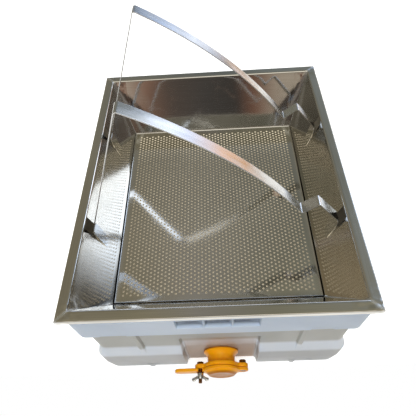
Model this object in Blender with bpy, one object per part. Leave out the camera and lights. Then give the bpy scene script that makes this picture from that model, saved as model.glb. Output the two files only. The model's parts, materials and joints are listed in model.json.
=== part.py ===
# Honey uncapping tank: a ribbed plastic tub, a stainless sieve tray that hangs in its mouth,
# two lift-off frame rests and a plastic honey gate.
# Metres, +Z up.  X runs across the tank, Y along it, and the gate points to -Y.
# The origin is on the ground under the middle of the tub.
import math

import bmesh
import bpy
from mathutils import Vector

# ---------------------------------------------------------------- driving sizes
GAP = 0.0003                 # clearance between pieces that touch

RIM_WIDTH = 0.420            # tray rim, across X
RIM_LENGTH = 0.508           # tray rim, along Y
RIM_HEIGHT = 0.270           # top of the rim above the ground
SHEET = 0.0010               # stainless sheet of the tray
FLANGE = 0.015               # flat top of the rim
LIP = 0.008                  # turned-down outer edge of the rim
TRAY_DEPTH = 0.1014          # rim to ledge
SIDE_RUN = 0.0305            # how far a long wall slopes in
END_RUN = 0.0476             # how far a short wall slopes in
LEDGE = 0.012                # inward fold that carries the sieve
SIEVE_SHEET = 0.0010

TUB_WIDTH = 0.410
TUB_LENGTH = 0.500
TUB_WALL = 0.003
TUB_CORNER = 0.012           # outer radius of the upright corners
PANEL_RECESS = 0.007         # side panels behind the top band
BAY_RECESS = 0.014           # centre bay of each short end
BAY_HALF = 0.062
RIB_HALF = 0.0045
RIB_RECESS = 0.002
DRAFT = 0.002                # sideways slope of a rib's or bay's flank
END_RIB = 0.127              # ribs of the short ends, from the middle
SIDE_RIBS = (-0.150, 0.0, 0.150)
TUB_LEVELS = (               # height, recess of the panels and recess of the bay below the top band
    (0.190, 0, 0), (0.188, PANEL_RECESS, PANEL_RECESS), (0.146, PANEL_RECESS, PANEL_RECESS),
    (0.144, PANEL_RECESS, BAY_RECESS), (0.113, PANEL_RECESS, BAY_RECESS), (0.088, 0, BAY_RECESS),
    (0.048, 0, BAY_RECESS), (0.004, 0.0035, BAY_RECESS), (0, 0.0065, BAY_RECESS + 0.002))

GRIP_HALF = 0.057            # hand grip under the rim of each short end
GRIP_RIB = 0.004
GRIP_DEPTH = 0.008
GRIP_TOP = 0.246
GRIP_BOTTOM = 0.219

REST_SPACING = 0.2012        # between the two frame rests
REST_WIDTH = 0.018
REST_THICK = 0.0015
REST_HOOK = 0.1857           # a tail, from the middle of the tank
REST_TAIL = -0.045           # heights above the rim
REST_SHOULDERS = (-0.0165, -0.0150)
REST_PEAK = (-0.0958, 0.2125)
REST_NOTCH = (0.1280, 0.0105)
REST_STUB = (0.1504, 0.0290)
REST_BOW = 0.0175            # how far the long leg bends outwards
REST_BEND = 0.0028           # middle radius of every bend
SLOT_WIDTH = 0.021           # opening for a rest's tail in the long walls
SLOT_TOP = 0.002             # below the rim
SLOT_BOTTOM = 0.062
SLOT_REACH = 0.006           # how far the cutter reaches either side of the wall's face
TONGUE_WIDTH = 0.019
TONGUE_TOP = 0.0178
TONGUE_LEAN = 0.0072         # the tongue's top stands this much further out than its root
TONGUE_FOOT = 0.003          # the tongue runs this far into the wall below the opening

GATE_Z = 0.048               # axis of the gate above the ground
BORE = 0.020                 # radii of the gate
NECK = 0.0236
COLLAR = 0.030
COLLAR_STEPS = (0.002, 0.005, 0.009)    # rim, bevel and cone of the collar, from its back
COLLAR_BEVEL = 0.003
STANDOFF = 0.0205            # from the collar's back to the plate
GATE_DISC = 0.030
LUG_X = 0.0365               # pivot and clamp bolts, from the gate's axis
LUG_RADIUS = 0.009
PLATE = 0.0065
COVER = 0.005
DOME_RADIUS = 0.021
DOME = 0.0058
DOME_BEVEL = 0.001
SEAL = (0.0218, 0.0252)      # radii of the seal ring
SEAL_DEPTH = 0.0015
LEVER_TIP = 0.080
GASKET = 0.0015
BACK_NUT = 0.008
BACK_NUT_ROOT = 0.0275       # radius between its eight lugs
THREAD_PAST = 0.004          # the gate's thread past the back nut
BOLT = 0.003                 # M6, radius
HEAD = 0.0057                # across the corners of a bolt head or nut, halved
NUT_SEAT = 0.0032            # the pivot nut sits in the cover's lug
BOLT_HEAD = 0.004
BOLT_PAST = 0.0175           # the clamp bolt past the cover
WASHER = 0.0012
WASHER_RADIUS = 0.0062
WING_HUB = ((0, 0.0056), (0.006, 0.0052), (0.0095, 0.0042))     # distance from its back, radius
WING_ROOT = 0.0042
WING_TIP = (0.0108, 0.0098)  # middle of an ear's round tip, from the axis and from the back
WING_TIP_RADIUS = 0.0035
WING_HALF = 0.0011           # half the thickness of an ear
CUT = 0.002                  # how far a cutter runs past what it cuts

# ---------------------------------------------------------------- places worked out from them
REST_Y = REST_SPACING / 2
END_FACE = -TUB_LENGTH / 2
BAY_FACE = END_FACE + BAY_RECESS
BAY_INSIDE = BAY_FACE + TUB_WALL
COLLAR_BACK = BAY_FACE - GASKET - 2 * GAP
PLATE_BACK = COLLAR_BACK - STANDOFF
PLATE_FRONT = PLATE_BACK - PLATE
COVER_BACK = PLATE_FRONT - 2 * GAP
COVER_FRONT = COVER_BACK - COVER
BOLT_END = COVER_FRONT - BOLT_PAST


def new_material(name, color, roughness, metallic=0.0):
    material = bpy.data.materials.new(name)
    material.use_nodes = True
    shader = material.node_tree.nodes["Principled BSDF"]
    shader.inputs["Base Color"].default_value = (*color, 1.0)
    shader.inputs["Roughness"].default_value = roughness
    shader.inputs["Metallic"].default_value = metallic
    return material


def add_object(name, bm, material=None, smooth=False, origin=(0, 0, 0)):
    # The mesh was built in world coordinates, and the object's origin goes on its joint's axis.
    bmesh.ops.recalc_face_normals(bm, faces=bm.faces)
    bmesh.ops.translate(bm, verts=bm.verts, vec=-Vector(origin))
    mesh = bpy.data.meshes.new(name)
    bm.to_mesh(mesh)
    bm.free()
    if smooth:
        mesh.shade_smooth()
        mesh.set_sharp_from_angle(angle=math.radians(35))
    obj = bpy.data.objects.new(name, mesh)
    obj.location = origin
    if material:
        mesh.materials.append(material)
    bpy.context.collection.objects.link(obj)
    return obj


def loft(loops, caps=True):
    # Closed loops of equal length, joined one to the next.
    bm = bmesh.new()
    rings = [[bm.verts.new(point) for point in loop] for loop in loops]
    for ring, following in zip(rings, rings[1:]):
        for i, vert in enumerate(ring):
            j = (i + 1) % len(ring)
            bm.faces.new((vert, ring[j], following[j], following[i]))
    if caps:
        bm.faces.new(rings[0])
        bm.faces.new(rings[-1])
    return bm


def box(low, high):
    corners = [(low[0], low[1]), (high[0], low[1]), (high[0], high[1]), (low[0], high[1])]
    return loft([[(x, y, z) for x, y in corners] for z in (low[2], high[2])])


def arc(center, radius, start, end, steps):
    # Points from one angle to another, in degrees.
    points = []
    for i in range(steps + 1):
        angle = math.radians(start + (end - start) * i / steps)
        points.append((center[0] + radius * math.cos(angle), center[1] + radius * math.sin(angle)))
    return points


def upright(outline, y_back, y_front, axis_z=GATE_Z):
    # Extrudes an (x, z) outline along Y; z counts from the gate's axis.
    return loft([[(x, y, axis_z + z) for x, z in outline] for y in (y_back, y_front)])


def turned(profile, center, steps=48):
    # Revolves (y, radius) points about an axis along Y.  A profile that starts and ends at
    # radius 0 is capped, and any other closed profile becomes a ring.
    x, z = center
    loops = []
    for y, radius in profile:
        loops.append([(x + a, y, z + b) for a, b in arc((0, 0), radius, 0, 360, steps)[:-1]])
    return loft(loops)


def ring(y_back, y_front, inner, outer, center=(0, GATE_Z), steps=48):
    bm = bmesh.new()
    profile = [(y_back, inner), (y_back, outer), (y_front, outer), (y_front, inner)]
    loops = []
    for y, radius in profile:
        points = arc((0, 0), radius, 0, 360, steps)[:-1]
        loops.append([bm.verts.new((center[0] + a, y, center[1] + b)) for a, b in points])
    for loop, following in zip(loops, loops[1:] + loops[:1]):
        for i, vert in enumerate(loop):
            j = (i + 1) % steps
            bm.faces.new((vert, loop[j], following[j], following[i]))
    return bm


def hexagon(radius):
    return [(radius * math.cos(math.radians(a)), radius * math.sin(math.radians(a)))
            for a in range(0, 360, 60)]


def boolean(obj, bm, operation):
    helper = add_object(obj.name + "_tool", bm)
    helper.hide_render = True
    helper.display_type = "WIRE"
    modifier = obj.modifiers.new(operation.lower(), "BOOLEAN")
    modifier.operation = operation
    modifier.solver = "EXACT"
    modifier.object = helper


# ---------------------------------------------------------------- tub
def tub_section(z, panel, bay, inward):
    # One level of the tub: a rounded rectangle with a bay and two ribs on each short end and
    # three ribs on each long side.  The inside follows at the wall's thickness.
    half_x = TUB_WIDTH / 2 - panel - inward
    half_y = TUB_LENGTH / 2 - panel - inward
    radius = TUB_CORNER - inward
    rib = RIB_RECESS if panel == PANEL_RECESS and not inward else panel

    def feature(center, half, recess):
        flank = half + (inward if half == BAY_HALF else 0)
        step = recess - panel
        return [(center - flank - DRAFT, 0), (center - flank, step),
                (center + flank, step), (center + flank + DRAFT, 0)]

    end = []
    for center, half, recess in ((-END_RIB, RIB_HALF, rib), (0, BAY_HALF, bay), (END_RIB, RIB_HALF, rib)):
        end += feature(center, half, recess)
    side = []
    for center in SIDE_RIBS:
        side += feature(center, RIB_HALF, rib)

    corner = half_x - radius, half_y - radius
    points = [(x, -half_y + step) for x, step in end]
    points += arc((corner[0], -corner[1]), radius, -90, 0, 5)
    points += [(half_x - step, y) for y, step in side]
    points += arc((corner[0], corner[1]), radius, 0, 90, 5)
    points += [(-x, half_y - step) for x, step in end]
    points += arc((-corner[0], corner[1]), radius, 90, 180, 5)
    points += [(-half_x + step, -y) for y, step in side]
    points += arc((-corner[0], -corner[1]), radius, 180, 270, 5)
    return [(x, y, z) for x, y in points]


def add_tub(material):
    top = RIM_HEIGHT - SHEET - GAP
    levels = [(top, 0, 0), *TUB_LEVELS]
    loops = [tub_section(z, panel, bay, 0) for z, panel, bay in reversed(levels)]
    loops += [tub_section(max(z, TUB_WALL + 0.001), panel, bay, TUB_WALL) for z, panel, bay in levels[:-2]]
    floor = levels[-2]
    loops.append(tub_section(TUB_WALL, floor[1], floor[2], TUB_WALL))
    tub = add_object("tub", loft(loops), material)

    for sign in (-1, 1):
        face = sign * TUB_LENGTH / 2
        backs = sorted((face - sign * TUB_WALL / 2, face - sign * (GRIP_DEPTH + TUB_WALL)))
        edge = TUB_WALL
        boolean(tub, box((-GRIP_HALF - edge, backs[0], GRIP_BOTTOM - edge),
                         (GRIP_HALF + edge, backs[1], GRIP_TOP + edge)), "UNION")
    cell = (2 * GRIP_HALF - 2 * GRIP_RIB) / 3
    for sign in (-1, 1):
        face = sign * TUB_LENGTH / 2
        for i in range(3):
            left = -GRIP_HALF + i * (cell + GRIP_RIB)
            ys = sorted((face + sign * CUT, face - sign * GRIP_DEPTH))
            boolean(tub, box((left, ys[0], GRIP_BOTTOM), (left + cell, ys[1], GRIP_TOP)), "DIFFERENCE")
    hole = turned([(BAY_FACE - CUT, NECK + 2 * GAP), (BAY_INSIDE + CUT, NECK + 2 * GAP)], (0, GATE_Z))
    boolean(tub, hole, "DIFFERENCE")


# ---------------------------------------------------------------- tray
def wall_profile(run):
    # The sheet's upper and lower face as (z, inset from the rim's outer edge).
    slope = math.hypot(run, TRAY_DEPTH) / TRAY_DEPTH
    foot = FLANGE + run
    upper = [(-LIP, 0), (0, 0), (0, FLANGE), (-TRAY_DEPTH, foot), (-TRAY_DEPTH, foot + LEDGE)]

    def lower_inset(drop):
        return FLANGE + run * drop / TRAY_DEPTH - SHEET * slope

    lower = [(-LIP, SHEET), (-SHEET, SHEET), (-SHEET, lower_inset(SHEET)),
             (-TRAY_DEPTH - SHEET, lower_inset(TRAY_DEPTH + SHEET)), (-TRAY_DEPTH - SHEET, foot + LEDGE)]
    return upper, lower


def wall_bmesh(own_run, other_run, place):
    # Runs one wall's profile from mitre to mitre; place(inset, z, end, other_inset) gives a point.
    own = wall_profile(own_run)
    other = wall_profile(other_run)
    bm = bmesh.new()
    ends = []
    for end in (-1, 1):
        sheets = []
        for face in (0, 1):
            sheets.append([bm.verts.new(place(inset, RIM_HEIGHT + z, end, across))
                           for (z, inset), (_, across) in zip(own[face], other[face])])
        ends.append(sheets)
        upper, lower = sheets
        for i in range(len(upper) - 1):
            bm.faces.new((upper[i], upper[i + 1], lower[i + 1], lower[i]))
    first = ends[0][0] + ends[0][1][::-1]
    second = ends[1][0] + ends[1][1][::-1]
    for i, vert in enumerate(first):
        j = (i + 1) % len(first)
        bm.faces.new((vert, first[j], second[j], second[i]))
    return bm


def wall_x(drop, run=SIDE_RUN):
    # Inner face of a long wall at a depth below the rim, from the middle of the tank.
    return RIM_WIDTH / 2 - FLANGE - run * drop / TRAY_DEPTH


def add_tray(material):
    for name, sign in (("tray_front_wall", -1), ("tray_rear_wall", 1)):
        def place(inset, z, end, across, sign=sign):
            return (end * (RIM_WIDTH / 2 - across - GAP), sign * (RIM_LENGTH / 2 - inset), z)
        add_object(name, wall_bmesh(END_RUN, SIDE_RUN, place), material)

    for name, sign in (("tray_left_wall", -1), ("tray_right_wall", 1)):
        def place(inset, z, end, across, sign=sign):
            return (sign * (RIM_WIDTH / 2 - inset), end * (RIM_LENGTH / 2 - across - GAP), z)
        wall = add_object(name, wall_bmesh(SIDE_RUN, END_RUN, place), material)
        for y in (-REST_Y, REST_Y):
            add_slot(wall, sign, y)

    half_x = wall_x(TRAY_DEPTH) - 2 * GAP
    half_y = RIM_LENGTH / 2 - FLANGE - END_RUN - 2 * GAP
    bottom = RIM_HEIGHT - TRAY_DEPTH + GAP
    plate = box((-half_x, -half_y, bottom), (half_x, half_y, bottom + SIEVE_SHEET))
    add_object("sieve_plate", plate, material)


def add_slot(wall, sign, y):
    # The wall is cut open below the rim, and the cut metal stands up as a tongue that a rest hooks over.
    cut = []
    for drop in (SLOT_TOP, SLOT_BOTTOM):
        x = wall_x(drop)
        cut += [(x - SLOT_REACH, drop), (x + SLOT_REACH, drop)]
    cut = [cut[0], cut[1], cut[3], cut[2]]
    half = SLOT_WIDTH / 2
    boolean(wall, loft([[(sign * x, side, RIM_HEIGHT - drop) for x, drop in cut]
                        for side in (y - half, y + half)]), "DIFFERENCE")

    root = wall_x(SLOT_BOTTOM)
    deepest = SLOT_BOTTOM + TONGUE_FOOT
    foot = wall_x(deepest)
    tip = root + TONGUE_LEAN
    tongue = [(foot, deepest), (root, SLOT_BOTTOM), (tip, TONGUE_TOP),
              (tip + SHEET, TONGUE_TOP), (root + SHEET, SLOT_BOTTOM), (foot + SHEET, deepest)]
    half = TONGUE_WIDTH / 2
    boolean(wall, loft([[(sign * x, side, RIM_HEIGHT - drop) for x, drop in tongue]
                        for side in (y - half, y + half)]), "UNION")


# ---------------------------------------------------------------- frame rests
def rounded(points, radii, steps=4):
    # Rounds the inner corners of an open (x, z) path.
    path = [Vector(points[0])]
    for before, corner, after, radius in zip(points, points[1:], points[2:], radii):
        corner = Vector(corner)
        back = (Vector(before) - corner).normalized()
        forth = (Vector(after) - corner).normalized()
        half_angle = back.angle(forth) / 2
        if radius == 0 or half_angle > math.radians(89):
            path.append(corner)
            continue
        center = corner + (back + forth).normalized() * radius / math.sin(half_angle)
        start = corner + back * radius / math.tan(half_angle)
        stop = corner + forth * radius / math.tan(half_angle)
        for i in range(steps + 1):
            spoke = (start - center).lerp(stop - center, i / steps)
            path.append(center + spoke.normalized() * radius)
    path.append(Vector(points[-1]))
    return path


def bowed(start, end, rise, steps):
    # Points between two ends of a shallow arc, without the ends.
    start, end = Vector(start), Vector(end)
    across = end - start
    outward = Vector((-across.y, across.x)).normalized()
    return [start + across * i / steps + outward * rise * 4 * (i / steps) * (1 - i / steps)
            for i in range(1, steps)]


def rest_path():
    # The rest's middle line, as (x, height above the rim).
    bow = bowed(REST_PEAK, REST_NOTCH, REST_BOW, 14)
    points = [(-REST_HOOK, REST_TAIL), (-REST_HOOK, REST_SHOULDERS[0]), REST_PEAK, *bow,
              REST_NOTCH, REST_STUB, (REST_HOOK, REST_SHOULDERS[1]), (REST_HOOK, REST_TAIL)]
    radii = [REST_BEND] * 2 + [0] * len(bow) + [REST_BEND] * 3
    return rounded(points, radii)


def add_rest(name, y, material):
    path = rest_path()
    sides = ([], [])
    for i, point in enumerate(path):
        before = path[max(i - 1, 0)]
        after = path[min(i + 1, len(path) - 1)]
        along = (after - before).normalized()
        normal = Vector((-along.y, along.x)) * REST_THICK / 2
        sides[0].append(point + normal)
        sides[1].append(point - normal)
    outline = sides[0] + sides[1][::-1]
    edges = (y - REST_WIDTH / 2, y + REST_WIDTH / 2)
    loops = [[(p.x, edge, RIM_HEIGHT + p.y) for p in outline] for edge in edges]
    add_object(name, loft(loops), material, smooth=True)


# ---------------------------------------------------------------- honey gate
def lug_outline(right_only=False):
    # The plate's disc with a round lug for the pivot, and another for the clamp.
    spread = math.degrees(math.asin(LUG_RADIUS / GATE_DISC))
    outline = arc((LUG_X, 0), LUG_RADIUS, -90, 90, 8)
    if right_only:
        return outline + arc((0, 0), GATE_DISC, spread, 360 - spread, 40)
    outline += arc((0, 0), GATE_DISC, spread, 180 - spread, 20)
    outline += arc((-LUG_X, 0), LUG_RADIUS, 90, 270, 8)
    return outline + arc((0, 0), GATE_DISC, 180 + spread, 360 - spread, 20)


def bolt_hole(x, y_back, y_front, radius=BOLT + GAP):
    return turned([(y_back, radius), (y_front, radius)], (x, GATE_Z), 24)


def add_gate_body(plastic, rubber):
    body = add_object("gate_body", upright(lug_outline(), PLATE_BACK, PLATE_FRONT), plastic, smooth=True)
    thread_end = BAY_INSIDE + GASKET + BACK_NUT + THREAD_PAST
    rim, bevel, cone = [COLLAR_BACK - step for step in COLLAR_STEPS]
    stem = turned([(thread_end, NECK), (COLLAR_BACK, NECK), (COLLAR_BACK, COLLAR), (rim, COLLAR),
                   (bevel, COLLAR - COLLAR_BEVEL), (cone, NECK), (PLATE_BACK - PLATE / 2, NECK)],
                  (0, GATE_Z))
    boolean(body, stem, "UNION")
    boolean(body, bolt_hole(0, thread_end + CUT, PLATE_FRONT - CUT, BORE), "DIFFERENCE")
    inner, outer = SEAL
    groove = ring(PLATE_FRONT + SEAL_DEPTH + GAP, PLATE_FRONT - CUT, inner - GAP, outer + GAP)
    boolean(body, groove, "DIFFERENCE")
    for sign in (-1, 1):
        boolean(body, bolt_hole(sign * LUG_X, PLATE_BACK + CUT, PLATE_FRONT - CUT), "DIFFERENCE")
    seal = ring(PLATE_FRONT + SEAL_DEPTH, PLATE_FRONT - GAP, inner, outer)
    add_object("gate_seal_ring", seal, rubber, smooth=True)

    gasket = BAY_FACE - GAP
    add_object("gate_outer_gasket", ring(gasket, gasket - GASKET, NECK + GAP, COLLAR), rubber, smooth=True)
    gasket = BAY_INSIDE + GAP
    add_object("gate_inner_gasket", ring(gasket + GASKET, gasket, NECK + GAP, COLLAR), rubber, smooth=True)
    back = gasket + GASKET + GAP
    outline = []
    for i in range(8):
        outline += arc((0, 0), COLLAR, i * 45 + 6, i * 45 + 30, 4)
        outline += arc((0, 0), BACK_NUT_ROOT, i * 45 + 34, i * 45 + 47, 1)
    nut = add_object("gate_back_nut", upright(outline, back, back + BACK_NUT), plastic, smooth=True)
    boolean(nut, bolt_hole(0, back - CUT, back + BACK_NUT + CUT, NECK + GAP), "DIFFERENCE")


def add_gate_cover(plastic):
    pivot = (LUG_X, 0, GATE_Z)
    cover = add_object("gate_cover", upright(lug_outline(right_only=True), COVER_BACK, COVER_FRONT), plastic,
                       smooth=True, origin=pivot)
    half = LUG_RADIUS
    lever = arc((-LEVER_TIP + half, 0), half, 90, 270, 8) + [(-BORE, -half), (-BORE, half)]
    boolean(cover, upright(lever, COVER_BACK, COVER_FRONT), "UNION")
    bevel = DOME_BEVEL
    profile = [(COVER_FRONT + bevel, GATE_DISC), (COVER_FRONT, GATE_DISC),
               (COVER_FRONT - bevel, GATE_DISC - bevel), (COVER_FRONT - DOME, DOME_RADIUS + bevel),
               (COVER_FRONT - DOME - GAP, DOME_RADIUS)]
    dome = turned(profile, (0, GATE_Z))
    boolean(cover, dome, "UNION")
    # The clamp notch is open at the top and curves about the pivot, so that the cover swings down clear.
    swing = 2 * LUG_X
    slot = BOLT + 2 * GAP
    notch = arc((-LUG_X, 0), slot, 180, 360, 10)
    notch += arc((LUG_X, 0), swing - slot, 180, 166, 6)[1:]
    notch += arc((LUG_X, 0), swing + slot, 166, 180, 6)[:-1]
    boolean(cover, upright(notch, COVER_BACK + CUT, COVER_FRONT - DOME - CUT), "DIFFERENCE")
    boolean(cover, bolt_hole(LUG_X, COVER_BACK + CUT, COVER_FRONT - CUT), "DIFFERENCE")
    # The seat of the pivot nut is round, so that the cover turns about the nut.
    boolean(cover, bolt_hole(LUG_X, COVER_FRONT + NUT_SEAT, COVER_FRONT - CUT, HEAD + 2 * GAP), "DIFFERENCE")


def add_bolt(name, x, y_head, y_end, steel):
    head = [(a + x, b) for a, b in hexagon(HEAD)]
    bolt = add_object(name, upright(head, y_head + BOLT_HEAD, y_head), steel, smooth=True)
    profile = [(y_head + BOLT_HEAD / 2, BOLT), (y_end + 2 * GAP, BOLT), (y_end, BOLT - 2 * GAP)]
    shank = turned(profile, (x, GATE_Z), 24)
    boolean(bolt, shank, "UNION")


def hex_nut(name, x, y_back, y_front, radius, steel):
    outline = [(a + x, b) for a, b in hexagon(radius)]
    nut = add_object(name, upright(outline, y_back, y_front), steel, smooth=True)
    boolean(nut, bolt_hole(x, y_back + CUT, y_front - CUT), "DIFFERENCE")


def add_fasteners(steel):
    head = PLATE_BACK + GAP
    washer = ring(head + WASHER, head, BOLT + GAP, WASHER_RADIUS, (LUG_X, GATE_Z), 32)
    add_object("pivot_washer", washer, steel, smooth=True)
    add_bolt("pivot_bolt", LUG_X, head + WASHER + GAP, COVER_FRONT + GAP, steel)
    hex_nut("pivot_nut", LUG_X, COVER_FRONT + NUT_SEAT - GAP, COVER_FRONT + GAP, HEAD, steel)
    add_bolt("clamp_bolt", -LUG_X, head, BOLT_END, steel)
    washer_back = COVER_FRONT - GAP
    washer_front = washer_back - WASHER
    washer = ring(washer_back, washer_front, BOLT + GAP, WASHER_RADIUS, (-LUG_X, GATE_Z), 32)
    add_object("clamp_washer", washer, steel, smooth=True)

    back = washer_front - GAP
    axis = (-LUG_X, 0, GATE_Z)
    hub = turned([(back - step, radius) for step, radius in WING_HUB], (-LUG_X, GATE_Z), 32)
    nut = add_object("wing_nut", hub, steel, smooth=True, origin=axis)
    for sign in (-1, 1):
        boolean(nut, wing(sign, back), "UNION")
    boolean(nut, bolt_hole(-LUG_X, back + CUT, back - WING_HUB[-1][0] - CUT), "DIFFERENCE")


def wing(sign, back):
    # One ear of the wing nut: it leans outwards and ends in a round tip.
    outline = [(WING_ROOT, back - 0.0035), (0.0085, back - 0.0060)]
    outline += arc((WING_TIP[0], back - WING_TIP[1]), WING_TIP_RADIUS, 20, -150, 10)
    outline += [(WING_ROOT, back - 0.0085)]
    return loft([[(-LUG_X + sign * x, y, GATE_Z + z) for x, y in outline] for z in (-WING_HALF, WING_HALF)])


def build():
    for obj in list(bpy.data.objects):
        bpy.data.objects.remove(obj)
    polythene = new_material("natural_polythene", (0.86, 0.88, 0.90), 0.45)
    stainless = new_material("stainless_sheet", (0.62, 0.60, 0.56), 0.18, 1.0)
    strip = new_material("stainless_strip", (0.72, 0.72, 0.71), 0.25, 1.0)
    gate = new_material("yellow_gate_plastic", (0.93, 0.47, 0.01), 0.40)
    rubber = new_material("seal_rubber", (0.12, 0.12, 0.12), 0.70)
    zinc = new_material("plated_fastener", (0.75, 0.75, 0.76), 0.20, 1.0)

    add_tub(polythene)
    add_tray(stainless)
    add_rest("front_frame_rest", -REST_Y, strip)
    add_rest("rear_frame_rest", REST_Y, strip)
    add_gate_body(gate, rubber)
    add_gate_cover(gate)
    add_fasteners(zinc)


build()
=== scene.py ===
# Looks of a honey uncapping tank: polythene tub, folded stainless tray with a perforated floor,
# two bent strips to rest frames on, and a yellow honey gate.  Metres, +Z up, gate towards -Y.
import json
import math

import bmesh
import bpy
from mathutils import Matrix, Vector

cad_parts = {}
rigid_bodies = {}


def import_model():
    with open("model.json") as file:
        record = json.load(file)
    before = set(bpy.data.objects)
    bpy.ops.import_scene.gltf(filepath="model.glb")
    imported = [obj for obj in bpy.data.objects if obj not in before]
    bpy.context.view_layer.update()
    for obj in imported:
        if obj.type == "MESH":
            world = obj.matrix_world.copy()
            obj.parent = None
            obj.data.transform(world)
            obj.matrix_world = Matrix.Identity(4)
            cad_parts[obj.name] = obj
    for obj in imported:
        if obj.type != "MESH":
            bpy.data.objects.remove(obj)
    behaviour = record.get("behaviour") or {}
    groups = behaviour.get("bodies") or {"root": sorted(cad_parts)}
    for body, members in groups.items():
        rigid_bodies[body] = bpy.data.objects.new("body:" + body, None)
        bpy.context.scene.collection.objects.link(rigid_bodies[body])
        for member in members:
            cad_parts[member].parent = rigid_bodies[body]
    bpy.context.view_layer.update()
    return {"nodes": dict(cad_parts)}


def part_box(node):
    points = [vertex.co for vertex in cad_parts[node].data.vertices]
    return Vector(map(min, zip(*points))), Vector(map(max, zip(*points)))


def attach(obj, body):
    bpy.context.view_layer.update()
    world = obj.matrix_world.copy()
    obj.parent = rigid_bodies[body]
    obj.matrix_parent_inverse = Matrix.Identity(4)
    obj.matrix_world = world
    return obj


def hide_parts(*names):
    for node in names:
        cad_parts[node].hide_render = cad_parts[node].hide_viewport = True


mm = 0.001
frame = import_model()
nodes = frame["nodes"]


# ---- small helpers
def hexColor(text):
    # sRGB hex to the linear colour that the sockets take
    channels = [int(text[i:i + 2], 16) / 255 for i in (1, 3, 5)]
    linear = [c / 12.92 if c <= 0.04045 else ((c + 0.055) / 1.055) ** 2.4 for c in channels]
    return (*linear, 1.0)


def addNode(tree, kind, settings=None, inputs=None):
    # adds a node, sets its properties and ramp stops, and fills or links its inputs
    node = tree.nodes.new(kind)
    for name, value in (settings or {}).items():
        if name == "stops":
            ramp = node.color_ramp.elements
            while len(ramp) < len(value):
                ramp.new(1.0)
            for element, (place, color) in zip(ramp, value):
                element.position = place
                element.color = hexColor(color) if isinstance(color, str) else (color, color, color, 1)
        else:
            setattr(node, name, value)
    for key, value in (inputs or {}).items():
        if isinstance(value, bpy.types.Node):
            value = value.outputs[0]
        if isinstance(value, bpy.types.NodeSocket):
            tree.links.new(value, node.inputs[key])
        else:
            node.inputs[key].default_value = value
    return node


def newMaterial(name, **values):
    # a Principled material with its uniform values set on the shader's own sockets
    material = bpy.data.materials.new(name)
    material.use_nodes = True
    shader = material.node_tree.nodes["Principled BSDF"]
    for key, value in values.items():
        shader.inputs[key.replace("_", " ")].default_value = hexColor(value) if isinstance(value, str) else value
    return material, material.node_tree, shader


def wire(tree, shader, links):
    # feeds the shader's named inputs from nodes or their outputs
    for name, source in links.items():
        socket = source.outputs[0] if isinstance(source, bpy.types.Node) else source
        tree.links.new(socket, shader.inputs[name])


def between(value, points):
    # straight-line interpolation in a list of (place, value)
    if value <= points[0][0]:
        return points[0][1]
    for (a, low), (b, high) in zip(points, points[1:]):
        if value <= b:
            return low + (high - low) * (value - a) / (b - a)
    return points[-1][1]


def finishMesh(name, bm, material, sharpAngle=35):
    # turns a bmesh into a smooth-shaded object with one material
    bmesh.ops.remove_doubles(bm, verts=bm.verts, dist=0.005 * mm)
    bmesh.ops.recalc_face_normals(bm, faces=bm.faces)
    mesh = bpy.data.meshes.new(name)
    bm.to_mesh(mesh)
    bm.free()
    mesh.shade_smooth()
    mesh.set_sharp_from_angle(angle=math.radians(sharpAngle))
    mesh.materials.append(material)
    piece = bpy.data.objects.new(name, mesh)
    bpy.context.collection.objects.link(piece)
    return piece


def bakeModifiers(piece):
    # turns the evaluated object into a plain mesh and drops the modifiers
    evaluated = piece.evaluated_get(bpy.context.evaluated_depsgraph_get())
    mesh = bpy.data.meshes.new_from_object(evaluated)
    piece.modifiers.clear()
    old = piece.data
    piece.data = mesh
    mesh.name = piece.name
    if isinstance(old, bpy.types.Mesh):
        bpy.data.meshes.remove(old)
    return piece


def cutWith(piece, bm):
    # takes a closed shape out of a piece
    bmesh.ops.recalc_face_normals(bm, faces=bm.faces)
    mesh = bpy.data.meshes.new("cutter")
    bm.to_mesh(mesh)
    bm.free()
    cutter = bpy.data.objects.new("cutter", mesh)
    bpy.context.collection.objects.link(cutter)
    modifier = piece.modifiers.new("cut", "BOOLEAN")
    modifier.operation = "DIFFERENCE"
    modifier.solver = "EXACT"
    modifier.object = cutter
    bakeModifiers(piece)
    bpy.data.objects.remove(cutter)
    piece.data.set_sharp_from_angle(angle=math.radians(35))


def loft(rings, closed=False, capped=True):
    # joins loops of equal length; closed runs the last back into the first
    bm = bmesh.new()
    rows = [[bm.verts.new(point) for point in ring] for ring in rings]
    pairs = list(zip(rows, rows[1:])) + ([(rows[-1], rows[0])] if closed else [])
    for row, following in pairs:
        for i, vert in enumerate(row):
            j = (i + 1) % len(row)
            bm.faces.new((vert, row[j], following[j], following[i]))
    if capped and not closed:
        bm.faces.new(rows[0])
        bm.faces.new(rows[-1])
    return bm


def arc(center, radius, start, end, steps):
    # points along a circle's arc, from start to end in degrees
    angles = [math.radians(start + (end - start) * i / steps) for i in range(steps + 1)]
    return [(center[0] + radius * math.cos(a), center[1] + radius * math.sin(a)) for a in angles]


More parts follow.
